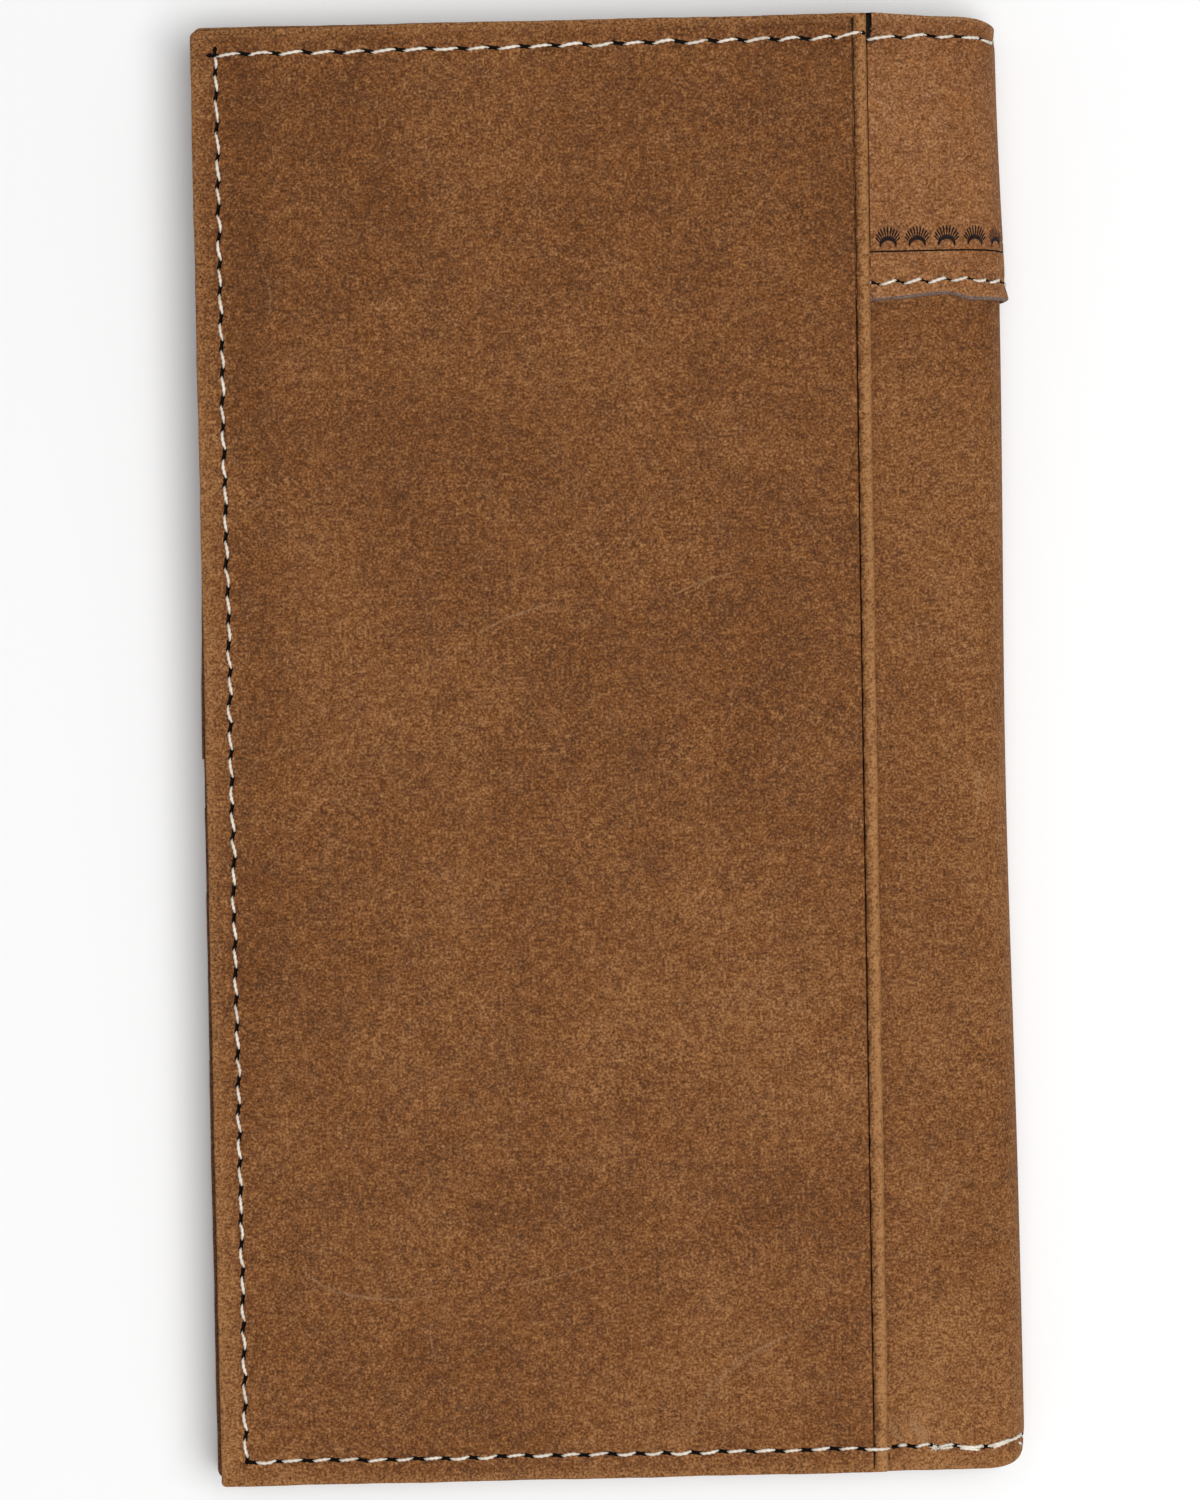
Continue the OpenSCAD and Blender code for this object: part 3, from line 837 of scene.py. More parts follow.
def seam(start, stop, pitch, length, lean=0.0, seed=0, through=None, own=(), pull=None, thick=THREAD):
    """A straight row of stitches between two places on a pattern. Lean is how far each one slants. Through
    is a place along the row where a stitch has its middle. Own stitches are given one by one: (along,
    length, lean, aside). Pull tells how much deeper the thread lies at a place along the row."""
    start, stop = np.array(start, float), np.array(stop, float)
    span = np.linalg.norm(stop - start)
    way = (stop - start) / span
    if through is None:
        step = span / max(1, int(round(span / pitch)))
        through = step / 2
    else:
        step = pitch
    along = through + step * np.arange(-math.floor(through / step), math.floor((span - through) / step) + 1)
    along = along[(along > 0.45 * length) & (along < span - 0.45 * length)]
    if own:
        places = [stitch[0] for stitch in own]
        along = along[(along < min(places) - 0.6 * step) | (along > max(places) + 0.6 * step)]
    draw = np.random.default_rng(seed)
    count = len(along)
    stitches = np.stack([
        along + draw.normal(0, ALONG_STRAY, count),
        length * draw.uniform(0.93, 1.07, count),
        lean + draw.normal(0, LEAN_STRAY, count),
        draw.normal(0, ASIDE_STRAY, count),
    ], 1)
    stitches = np.concatenate([stitches, np.array(own, float).reshape(-1, 4)])
    stitches = stitches[np.argsort(stitches[:, 0])]
    return {
        "start": start, "way": way, "side": np.array([-way[1], way[0]]), "span": span, "step": step,
        "along": stitches[:, 0], "length": stitches[:, 1], "lean": stitches[:, 2], "aside": stitches[:, 3],
        "pull": pull or (lambda along: 0 * along), "thick": thick,
    }


def on_row(row, along, across):
    """Places on the pattern, from distances along and across a row."""
    return row["start"] + row["way"] * np.reshape(along, (-1, 1)) + row["side"] * np.reshape(across, (-1, 1))


def seam_points(row, step=0.8):
    """Mesh points along a seam, so that its channel has room to be round."""
    along = np.arange(0.4, row["span"], step)
    return np.concatenate([on_row(row, along, offset + 0 * along) for offset in CHANNEL_STEPS])


def seam_relief(flat, rows):
    """The channel that the thread pulls into the leather, deepest under each stitch."""
    total = np.zeros(len(flat))
    for row in rows:
        away = flat - row["start"]
        along, across = away @ row["way"], away @ row["side"]
        near = (np.abs(across) < 3) & (along > -2) & (along < row["span"] + 2)
        along, across = along[near], across[near]
        fade = smooth((along + 1.2) / 1.2) * smooth((row["span"] + 1.2 - along) / 1.2)
        pulse = 0.75 - 0.25 * np.cos(2 * math.pi * (along - row["along"][0]) / row["step"] + math.pi)
        depth = CHANNEL_DEPTH * row["thick"] / THREAD + row["pull"](along)
        total[near] -= depth * fade * pulse * hump(across, 0, CHANNEL_WIDTH)
    return total


def seam_holes(row, width=0.52, depth=0.5, waist=0.8, only=None):
    """The slit between each stitch and the next, pressed in and painted near black as shade: two needle holes
    joined by a line that is narrower.
    """
    size = row["thick"] / THREAD
    begins = row["along"] - row["length"] / 2
    finishes = row["along"] + row["length"] / 2
    swing = row["lean"] * row["length"] / 2
    low, high = row["aside"] - swing, row["aside"] + swing
    spots = [
        (begins[0] - 1.1, begins[0], 0.0, low[0]),
        *zip(finishes[:-1], begins[1:], high[:-1], low[1:]),
        (finishes[-1], finishes[-1] + 0.7, high[-1], 0.0),
    ]
    widths = width * size * np.array([0.3, 0.9, 1.0, waist, waist, 1.0, 0.9, 0.3])
    marks = []
    for begin, finish, side_a, side_b in spots:
        along = begin - 0.22 * size + (finish - begin + 0.44 * size) * SLIT_SHARES
        path = on_row(row, along, side_a + (side_b - side_a) * SLIT_SHARES)
        if only is None or only(path[[0, -1]]):
            marks.append(stroke(path, widths, depth, "hole"))
    return marks


# %% Make the stitches with geometry nodes
STITCH_SIDES = 3
STITCH_RINGS = 15
STITCH_SHAPE = 4.5


def stitch_tree():
    """Puts a twisted, sagging stitch on each point of a mesh, with the direction and size it carries."""
    tree = bpy.data.node_groups.new("stitches", "GeometryNodeTree")
    add_sockets(
        tree,
        {"Geometry": ("Geometry", None), "Thread": ("Material", None), "Rise": ("Float", 0.14),
         "Dive": ("Float", 1.0), "Twist": ("Float", 4.6), "Bow": ("Float", 0.28), "Uneven": ("Float", 0.08),
         "Seed": ("Int", 7)},
        {"Geometry": "Geometry"},
    )
    make = node_maker(tree)
    given = make("NodeGroupInput").outputs

    reach_to = {"Start": (-STITCH_SHAPE / 2, 0, 0), "End": (STITCH_SHAPE / 2, 0, 0)}
    line = make("GeometryNodeCurvePrimitiveLine", reach_to).outputs["Curve"]
    line = make("GeometryNodeResampleCurve", {"Curve": line, "Count": STITCH_RINGS}).outputs["Curve"]
    share = make("GeometryNodeSplineParameter").outputs["Factor"]
    reach = maths(make, "MULTIPLY_ADD", share, 2.0, -1.0)
    square = maths(make, "MULTIPLY", reach, reach)
    fourth = maths(make, "MULTIPLY", square, square)
    drop = maths(make, "ADD", given["Rise"], given["Dive"])
    lift = maths(make, "MULTIPLY", maths(make, "MULTIPLY", fourth, drop), -1.0)
    lift = maths(make, "ADD", lift, given["Rise"])
    flat_top = maths(make, "MULTIPLY_ADD", square, -1.0, 1.0)
    bowed = maths(make, "MULTIPLY", flat_top, given["Bow"])
    taper = maths(make, "MULTIPLY_ADD", fourth, -0.4, 1.0)
    turn = maths(make, "MULTIPLY", reach, given["Twist"])
    star = {"Points": STITCH_SIDES, "Inner Radius": 0.36, "Outer Radius": 0.54, "Twist": 0.0}
    profile = make("GeometryNodeCurveStar", star).outputs["Curve"]
    shapes = []
    for bow in (-1.0, 0.0, 1.0):
        offset = make("ShaderNodeCombineXYZ", {"Y": maths(make, "MULTIPLY", bowed, bow), "Z": lift})
        curve = make("GeometryNodeSetPosition", {"Geometry": line, "Offset": offset.outputs["Vector"]})
        curve = make("GeometryNodeSetCurveRadius", {"Curve": curve.outputs["Geometry"], "Radius": taper})
        curve = make("GeometryNodeSetCurveTilt", {"Curve": curve.outputs["Curve"], "Tilt": turn})
        parts = {"Curve": curve.outputs["Curve"], "Profile Curve": profile, "Fill Caps": True}
        body = make("GeometryNodeCurveToMesh", parts)
        shape = make("GeometryNodeSetShadeSmooth", {"Geometry": body.outputs["Mesh"]}).outputs["Geometry"]
        shapes.append(make("GeometryNodeGeometryToInstance", {"Geometry": shape}).outputs["Instances"])
    choice = make("GeometryNodeJoinGeometry")
    for shape in reversed(shapes):
        tree.links.new(shape, choice.inputs["Geometry"])

    def carried(name, kind="FLOAT_VECTOR"):
        node = make("GeometryNodeInputNamedAttribute", {"Name": name}, data_type=kind)
        return node.outputs["Attribute"]

    def drawn(low, high):
        limits = {"Min": low, "Max": high, "Seed": given["Seed"]}
        return make("FunctionNodeRandomValue", limits, data_type="FLOAT").outputs[1]

    points = make("GeometryNodeMeshToPoints", {"Mesh": given["Geometry"]}).outputs["Points"]
    axes = {"Primary Axis": carried("along"), "Secondary Axis": carried("up")}
    along = make("FunctionNodeAxesToRotation", axes, primary_axis="X", secondary_axis="Z")
    roll = make("FunctionNodeAxisAngleToRotation", {"Axis": (1, 0, 0), "Angle": drawn(-0.25, 0.25)})
    turns = {"Rotation": along.outputs["Rotation"], "Rotate By": roll.outputs["Rotation"]}
    turned = make("FunctionNodeRotateRotation", turns, rotation_space="LOCAL").outputs["Rotation"]
    swell = maths(make, "MULTIPLY_ADD", drawn(-1.0, 1.0), given["Uneven"], 1.0)
    scale = make("ShaderNodeVectorMath", {0: carried("size"), "Scale": swell}, operation="SCALE")
    placed = make("GeometryNodeInstanceOnPoints", {
        "Points": points, "Instance": choice.outputs["Geometry"], "Pick Instance": True, "Rotation": turned,
        "Instance Index": carried("variant", "INT"), "Scale": scale.outputs["Vector"],
    })
    real = make("GeometryNodeRealizeInstances", {"Geometry": placed.outputs["Instances"]}).outputs["Geometry"]
    named = make("GeometryNodeSetMaterial", {"Geometry": real, "Material": given["Thread"]})
    make("NodeGroupOutput", {"Geometry": named.outputs["Geometry"]})
    return tree


STITCH_TREE = stitch_tree()
sewing = {}


def sew(group, place, row, level):
    """Adds a row's stitches to a group. Level gives the height of the leather at a place on the pattern."""
    draw = np.random.default_rng(len(row["along"]))
    for along, length, lean, aside in zip(row["along"], row["length"], row["lean"], row["aside"]):
        swing = lean * length / 2
        half = length / 2
        ends = on_row(row, [along - half, along, along + half], [aside - swing, aside, aside + swing])
        middle = ends[1:2]
        name = group(middle[0]) if callable(group) else group
        height = np.full(3, level(middle)[0])
        back, here, ahead = place(ends, height)
        above = place(middle, height[:1] + 0.1)[0]
        variant = int(draw.choice([0, 1, 1, 2]))
        stitch = (here, ahead - back, above - here, length + 0.1, row["thick"], variant)
        sewing.setdefault(name, []).append(stitch)


def make_thread(name, object_name):
    """Turns the stitches of a group into one mesh."""
    places, ways, ups, lengths, thicks, variants = zip(*sewing.pop(name))
    carrier = bpy.data.meshes.new(object_name)
    carrier.from_pydata([tuple(place * MM) for place in places], [], [])
    sizes = [(length * MM / STITCH_SHAPE, thick * MM, thick * MM) for length, thick in zip(lengths, thicks)]
    for label, vectors in (("along", ways), ("up", ups), ("size", sizes)):
        store(carrier, label, vectors, "FLOAT_VECTOR")
    store(carrier, "variant", variants, "INT")
    piece = new_object(object_name, carrier)
    nodes = piece.modifiers.new("stitches", "NODES")
    nodes.node_group = STITCH_TREE
    items = STITCH_TREE.interface.items_tree
    nodes[next(item.identifier for item in items if item.name == "Thread")] = thread
    bpy.context.view_layer.update()
    evaluated = piece.evaluated_get(bpy.context.evaluated_depsgraph_get())
    mesh = bpy.data.meshes.new_from_object(evaluated)
    piece.modifiers.clear()
    piece.data = mesh
    mesh.name = object_name
    places = np.zeros(3 * len(mesh.vertices), np.float32)
    mesh.vertices.foreach_get("co", places)
    store(mesh, "hide", places, "FLOAT_VECTOR")
    print(f"{object_name}: {len(variants)} stitches, {len(mesh.polygons)} faces")
    return piece


# %% [markdown]
# ## The outside pocket panel
# The largest thing in view is the panel sewn to the back leaf. It is open towards the spine, and there its
# edge is creased so that a round bead runs along the mouth. Its mouth was cut a fraction of a degree off
# square. Pale scratches and scuffs cross its face.

# %% Work out the panel
SIDE_IN = 2.72
END_IN = 2.85
ROW_SKEW = 0.5
PANEL_OVER = 0.3
TOP_ROW_Y = TOP_Y - END_IN
BOTTOM_ROW_Y = BOTTOM_Y + END_IN
SIDE_ROW_X = BACK_X + SIDE_IN
MOUTH_SLOPE = 0.0062
BEAD_W = 1.6
BEAD_R = BEAD_W / 2
BEAD_DROP = 0.42
BEAD_RISE = 0.07
SCRATCH_DEPTH = 0.015


def mouth_at(y):
    """Where the panel's edge towards the spine lies."""
    return MOUTH_X + MOUTH_SLOPE * y


def curve_through(*points):
    """A smooth line through a few chosen places."""
    points = np.array(points, float)
    result = []
    for share in np.linspace(0, len(points) - 1, 4 * (len(points) - 1) + 1):
        index = min(int(share), len(points) - 2)
        t = share - index
        a, b = points[index], points[index + 1]
        before = points[index - 1] if index > 0 else 2 * a - b
        after = points[index + 2] if index + 2 < len(points) else 2 * b - a
        result.append(0.5 * (2 * a + (b - before) * t + (2 * before - 5 * a + 4 * b - after) * t**2
                             + (3 * a - before - 3 * b + after) * t**3))
    return np.array(result)


def scratch(width, *places):
    """A pale scratch that tapers out at both ends."""
    path = curve_through(*places)
    shares = np.linspace(0, 1, len(path))
    return stroke(path, np.maximum(width * np.sin(math.pi * shares) ** 0.7, 0.04), SCRATCH_DEPTH, "scuff")


def scratches(start, *rows):
    """Scratches, each from its width and its places. Start is added to how far along the pattern they are."""
    return [scratch(width, *[(start + x, y) for x, y in places]) for width, *places in rows]


panel_rows = {
    "side": seam(
        (SIDE_ROW_X, TOP_ROW_Y - 0.2), (SIDE_ROW_X, BOTTOM_ROW_Y + 0.5), 3.21, 1.95, 0.16, 11, through=16.85,
        own=[(1.2, 1.15, 0.1, -0.05), (3.6, 1.65, 0.16, 0.02), (6.85, 2.45, 0.13, 0.0),
             (10.6, 2.45, 0.15, 0.03), (13.95, 2.2, 0.15, 0.0)],
    ),
    "top": seam(
        (SIDE_ROW_X + 0.3, TOP_ROW_Y - ROW_SKEW), (mouth_at(TOP_ROW_Y) - 0.1, TOP_ROW_Y), 3.67, 2.4, 0.12, 12,
        through=1.2, own=[(74.3, 3.2, 0.24, 0.2)],
    ),
    "bottom": seam(
        (SIDE_ROW_X + 0.4, BOTTOM_ROW_Y + 0.1), (mouth_at(BOTTOM_ROW_Y) + 0.1, BOTTOM_ROW_Y + 0.1),
        3.27, 1.95, 0.1, 13, through=70.5, own=[(73.9, 2.5, 0.0, -0.15)],
    ),
}


def crease_at(y):
    """Where the crease beside the bead lies."""
    return mouth_at(y) - BEAD_W - 0.08


def panel_face(flat):
    """Rounds the bead along the mouth, and adds the channels and waves."""
    y = flat[:, 1]
    height = seam_relief(flat, panel_rows.values()) + ripple(flat, 0.07, 21)
    across = flat[:, 0] - (mouth_at(y) - BEAD_R)
    on_bead = np.abs(across) < BEAD_R
    crown = np.sqrt(np.maximum(BEAD_R**2 - across**2, 0)) - BEAD_R
    bead = np.maximum(crown, -BEAD_DROP) + BEAD_RISE
    crease = crease_at(y)
    beside = -0.15 * hump(flat[:, 0] - crease, -0.25, 0.45) * (flat[:, 0] < crease)
    return np.where(on_bead, bead + height * 0.35, height + beside)


def panel_under(flat):
    """The recess that the yoke's tongue fills."""
    return (YOKE_T / 2 + 0.05) * ((flat[:, 0] > TONGUE_X - 0.2) & (flat[:, 1] > YOKE_Y - 0.5))


def panel_tone(flat):
    """Darker where hands have rubbed it inside the side seam, paler outside the seams, lighter towards the
    foot partly as painted light, and paler on the bead as wear with a painted highlight.
    """
    x, y = flat[:, 0], flat[:, 1]
    band = smooth((x - SIDE_ROW_X - 0.6) / 1.2) * (1 - smooth((x - SIDE_ROW_X - 3.5) / 4))
    tone = -0.09 * band * smooth((y + 40) / 50)
    tone += (0.11 + 0.06 * smooth(-y / TOP_Y)) * (x < SIDE_ROW_X - 0.5)
    # Lighter towards the foot and darker towards the head: a gradient that is partly painted light.
    tone += 0.07 * np.clip(-y / TOP_Y, 0, 1) - 0.03 * np.clip(y / TOP_Y, 0, 1)
    # Paler on the bead: pale wear along with a painted highlight that grows towards the mouth.
    on_bead = x - mouth_at(y) + BEAD_W
    tone += 0.4 * smooth(on_bead / 0.2) + 0.24 * smooth((on_bead - 0.4) / 0.8)
    patch = np.exp(-(((x - 22) / 6) ** 2 + ((y + 32) / 4) ** 2))
    return tone + 0.12 * patch


# %% Make the outside pocket panel
panel_outline = rounded_outline(
    [(BACK_X - PANEL_OVER, BOTTOM_Y), (mouth_at(BOTTOM_Y), BOTTOM_Y + 0.05),
     (mouth_at(TOP_Y), TOP_Y), (9, TOP_Y - 0.08), (-12, TOP_Y - 0.08), (-33, TOP_Y - 0.22),
     (BACK_X - PANEL_OVER, TOP_Y - 0.45)],
    (0.6, 0.3, 0.3, 0, 0, 0, 0.9), wander=0.04, seed=31,
)
panel_marks = [mark for row in panel_rows.values() for mark in seam_holes(row)]
panel_marks += scratches(
    0,
    (0.5, (-16.1, 13.2), (-12.5, 15.3), (-9.1, 16.5), (-5.3, 17.6)),
    (0.4, (6.4, 17.3), (11.1, 19.3), (15.9, 20.7)),
    (0.7, (-37.7, -60.5), (-34.2, -62.9), (-29.3, -64.1), (-23.7, -64.3)),
    (0.4, (-20.3, -63.9), (-9.3, -62.4), (1.6, -59.4)),
    (0.4, (-22.6, -66.7), (-22.4, -69.7), (-21.8, -72.6)),
    (0.9, (7.7, -81.9), (9.6, -76.9), (12.6, -73.5), (16.2, -71.1), (29.3, -65.5)),
    (0.4, (-6.9, -50.5), (-6.8, -53.5), (-6.4, -56.4)),
    (0.35, (-16.4, -28), (-15.2, -31), (-13.5, -34)),
    (0.35, (-25, -17.2), (-24.2, -20.7), (-24.9, -24.3)),
    (0.3, (-40.2, 59.7), (-38.7, 54.7), (-39, 50.7)),
)
crease_y = spaced(BOTTOM_Y + 0.5, TOP_Y - 0.6, 2.0)
crease_line = [(crease_at(y), y) for y in crease_y]
crease_widths = np.resize([0.10, 0.16], len(crease_y))
panel_marks.append(stroke(crease_line, [0.34] * len(crease_y), 0.45, "crease"))
panel_marks.append(stroke(crease_line, crease_widths, 0.5, "tool"))


def along_mouth(offsets, step):
    """Mesh points in lines beside the mouth."""
    rows = spaced(BOTTOM_Y, TOP_Y, step)
    return np.array([(mouth_at(y) + offset, y) for offset in offsets for y in rows])


panel_points = np.concatenate([
    *[seam_points(row) for row in panel_rows.values()],
    along_mouth(BEAD_R * np.sin(np.radians([-75, -50, -28, -8, 12, 32, 50])) - BEAD_R, 1.6),
    along_mouth([-BEAD_W - 0.4, -BEAD_W - 0.8, -BEAD_W - 1.4], 2.0),
    grid(spaced(BACK_X, MOUTH_X - 3, 2.4), spaced(BOTTOM_Y, TOP_Y, 2.4)),
])
panel_under_points = np.concatenate([
    grid(spaced(BACK_X, MOUTH_X, 8), spaced(BOTTOM_Y, TOP_Y, 8)),
    grid([TONGUE_X - 0.25, TONGUE_X - 0.15], spaced(YOKE_Y - 0.45, TOP_Y, 3)),
    grid(spaced(TONGUE_X - 0.25, MOUTH_X + 1, 1.5), [YOKE_Y - 0.55, YOKE_Y - 0.45]),
])
panel = sheet(
    "outside_pocket_panel_leather", face_up(PANEL_Z), panel_outline, PANEL_T, (outer_leather, *WORKED_IN),
    panel_points, panel_under_points, marks=panel_marks, face=panel_face, under=panel_under, tone=panel_tone,
)[0]
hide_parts("outside_pocket_panel")
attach(panel, "back_leaf")
for row in panel_rows.values():
    sew("edge_seam_back", face_up(PANEL_Z), row, lambda flat: PANEL_T + panel_face(flat))

# %% [markdown]
# ## Layers that bend round the spine
# The shell, the yoke and the lining are long sheets folded round the spine. Each is laid out flat, from the
# front leaf's free edge to the back leaf's, and cut into four stretches at the middle of each strip of the
# frame.

# %% Helpers for bent layers
STRIP = math.radians(45)
END_ROUND = 0.8
FREE_TRIM = 0.6
FREE_TRIM_REACH = 35.0
FOOT_ROUND = 0.9
FOOT_CORNER = 1.5
HEAD_RISE = 0.1
HEAD_SAG = 0.75
INNER_SAG = 0.65
SAG_WIDTH = 11
EDGE_REACH = 3
LAYER_GAP = 0.02
LAYER_CORNERS = (1.3, 1.5, 1.0, 1.3)
LEAF_CORNER = 1.3
FRONT_SIDE = SIDE_IN - 0.25
FRONT_ROW = FRONT_SIDE - FRONT_W


def near_edge(distance):
    """1 at an edge, and 0 from a few millimetres inside it."""
    return smooth(1 - distance / EDGE_REACH)


def bulge(along, radius):
    """0 on the leaves and 1 at the spine's outermost, from places along a bent layer."""
    return np.sin(np.clip(along / radius, 0, math.pi))


def bend_cuts(radius):
    """Where a bent layer is divided."""
    return [radius * STRIP * number for number in (1, 2, 3)]


def trimmed(loop, edge):
    """The front leaf's free edge, which was cut back a little towards the head."""
    near = near_edge(loop[:, 0] - edge)
    loop[:, 0] += FREE_TRIM * near * smooth(loop[:, 1] / FREE_TRIM_REACH)
    return loop


def head_sag(bend):
    """The upper edge sags towards the spine. Bend is how long the layer's bent stretch is."""
    return lambda s: HEAD_RISE - HEAD_SAG * smooth((SAG_WIDTH + bend / 2 - np.abs(s - bend / 2)) / SAG_WIDTH)


def foot_rise(radius):
    """The lower edge is rounded off where the layer turns round the spine, most at its outermost."""
    return lambda s: FOOT_ROUND * bulge(s, radius) ** 2 + FOOT_CORNER * bulge(s, radius) ** 10


def sagged(loop):
    """The pieces inside follow the cover's sagging upper edge."""
    near = near_edge(TOP_Y - loop[:, 1])
    loop[:, 1] -= near * (HEAD_RISE + INNER_SAG * smooth((loop[:, 0] - BEND_X + SAG_WIDTH) / SAG_WIDTH))
    return loop


def rectangle(low, high):
    """Its corners, anticlockwise from the lower left."""
    return [(low[0], low[1]), (high[0], low[1]), (high[0], high[1]), (low[0], high[1])]


def bent_outline(radius, front, back, low, high, low_shift, high_shift, corners=LAYER_CORNERS, seed=0):
    """Outline of a bent layer. Front and back are how far it reaches along the leaves. The upper edge is
    rounded off a little round the spine, and the shifts bend the lower and the upper edge."""
    loop = rounded_outline(
        rectangle((-front, low), (math.pi * radius + back, high)), corners, step=0.65, wander=0.04, seed=seed
    )
    dip = END_ROUND * bulge(loop[:, 0], radius) ** 2
    near_low = near_edge(loop[:, 1] - low)
    near_high = near_edge(high - loop[:, 1])
    loop[:, 1] += near_low * low_shift(loop[:, 0])
    loop[:, 1] -= near_high * (dip - high_shift(loop[:, 0]))
    return trimmed(loop, -front)


def bent_points(radius, front, back, low, high, leaf_step=2.6, bend_step=0.62, row_step=1.7):
    """Mesh points of a bent layer, close together along the bend."""
    bend = math.pi * radius
    return np.concatenate([
        grid(spaced(-front, -1, leaf_step), spaced(low, high, leaf_step)),
        grid(spaced(-0.5, bend + 0.5, bend_step), spaced(low, high, row_step)),
        grid(spaced(bend + 1, bend + back, leaf_step), spaced(low, high, leaf_step)),
    ])


def bend_with_spine(pieces, nodes):
    """Fixes each stretch where it lies, and lets it stand for its share of the frame's nodes, which are
    hidden.
    """
    for number, (piece, stood_for) in enumerate(zip(pieces, nodes)):
        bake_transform(piece)
        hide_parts(*stood_for)


def layer_nodes(name):
    """The frame's nodes for the four stretches of a layer."""
    return (f"{name}_front",), (f"{name}_spine_1",), (f"{name}_spine_2",), (f"{name}_spine_3", f"{name}_back")


def spine_group(radius, name):
    """Which thread a stitch of a bent row belongs to, by its place round the spine."""
    def group(place):
        share = place[0] / (radius * STRIP)
        if share < 0:
            return f"{name}_front"
        return f"{name}_back" if share > 4 else f"spine_{int(share) + 1}"
    return group


def bent_row(bend, y, over, pitch, length, lean, seed, radius, more, own):
    """A row that runs from the front leaf round the spine to so far over the back leaf. Own stitches are
    given from their distance up the back leaf from the bend. More is how much deeper the thread lies round
    the spine."""
    return seam(
        (FRONT_ROW, y), (bend + over, y), pitch, length, lean, seed,
        own=[(bend + u - FRONT_ROW, *stitch) for u, *stitch in own],
        pull=lambda along: more * bulge(along + FRONT_ROW, radius) ** 2,
    )


def front_row(low, high, seed):
    """A row along the front leaf's free edge."""
    return seam((FRONT_ROW, low), (FRONT_ROW, high), PITCH, 1.85, 0.1, seed)


# %% [markdown]
# ## The outer shell
# One hide makes both leaves and the spine. It shows beside the panel's mouth, round the spine and on the
# whole front. Its foot is sewn across, and the machine went back over its last stitches there, so they are
# doubled and frayed.

# %% Make the outer shell
SHELL_BEND = math.pi * SHELL_R
shell_place = round_spine(SHELL_R)
shell_rows = {
    "foot": bent_row(
        SHELL_BEND, BOTTOM_ROW_Y, BEND_X - mouth_at(BOTTOM_ROW_Y), PITCH, 1.9, -0.1, 41, SHELL_R, 0.12,
        [(9.5, 0.85, -0.06, 0.22), (7.1, 1.5, -0.23, 0.1), (4.4, 1.75, -0.19, 0.0), (1.45, 2.75, 0.05, -0.15),
         (-2.2, 2.5, -0.2, 0.2), (-4.9, 2.2, -0.2, 0.6)],
    ),
    "side": front_row(BOTTOM_ROW_Y + 0.5, YOKE_Y - 0.8, 42),
}


def shell_face(flat):
    """Channels under the seams, waves on the leaves, and a soft ridge where the spine starts to bend."""
    ridge = 0.06 * hump(flat[:, 0] - SHELL_BEND, 2.6, 0.5)
    calm = bulge(flat[:, 0], SHELL_R) ** 2
    return seam_relief(flat, shell_rows.values()) + ripple(flat, 0.05, 43) * (1 - calm) + ridge


def shell_tone(flat):
    """Paler towards the foot and where the spine rubs, with a painted shadow darkening the strip just beside
    the panel's mouth.
    """
    y = flat[:, 1]
    spine = hump(flat[:, 0], 0.62 * SHELL_BEND, 1.6)
    # A painted shadow along the strip beside the panel's mouth, where the panel's edge shades it.
    beside = hump(flat[:, 0] - SHELL_BEND - BEND_X + MOUTH_X, 0.5, 1.2)
    grey = np.exp(-(((flat[:, 0] - SHELL_BEND - 7.5) / 2.5) ** 2 + ((y + 81.8) / 1.6) ** 2))
    return 0.1 - 0.08 * y / TOP_Y + 0.14 * spine - 0.12 * beside + 0.1 * grey


shell_marks = [mark for row in shell_rows.values() for mark in seam_holes(row)]
mouth_foot = [(SHELL_BEND + BEND_X - mouth_at(y) - 0.08, y) for y in (-85.3, -84.4, -83.6)]
shell_marks.append(stroke(mouth_foot, [0.1, 0.24, 0.16], 0.2, "crease"))
shell_marks += scratches(
    SHELL_BEND,
    (0.8, (-0.8, -2.3), (-1.4, -5.8), (-0.3, -10.5)),
    (0.6, (2.0, -49.4), (3.9, -53.5), (5.8, -57.5)),
    (2.2, (11.4, -80.2), (10.3, -81.3), (9.2, -82.6)),
    (2.4, (8.3, -80.1), (7.7, -81.2), (6.6, -82.3)),
    (0.35, (7.5, 20), (5.6, 14), (5.9, 9)),
    (0.3, (4.2, -22), (6.0, -27), (6.3, -31)),
)
shell_extent = (SHELL_R, FRONT_W, BACK_W, BOTTOM_Y, TOP_Y)
shell_outline = bent_outline(*shell_extent, foot_rise(SHELL_R), head_sag(SHELL_BEND), seed=44)
shell_points = np.concatenate([
    bent_points(*shell_extent),
    *[seam_points(row) for row in shell_rows.values()],
])
shell_pieces = sheet(
    "outer_shell", shell_place, shell_outline, SHELL_T - LAYER_GAP, (outer_leather, *WORKED_IN),
    cuts=bend_cuts(SHELL_R), marks=shell_marks, points=shell_points,
    under_points=bent_points(*shell_extent, 6, 0.8, 4), face=shell_face, tone=shell_tone,
    hide_offset=(260, 0), thick_from_top=True,
)
bend_with_spine(shell_pieces, layer_nodes("outer_shell"))
for row in shell_rows.values():
    sew(spine_group(SHELL_R, "edge_seam"), shell_place, row, shell_face)

# %% [markdown]
# ## The yoke
# A second, paler piece wraps the head of the cover. Its lower edge is pared to a slope that shows the grey
# core of the hide, and it stands off a little where it rounds the spine. Above its seam run a tooled line
# and a border of small fans. Each fan is one blow of a stamp: a dark crescent with eleven rays.

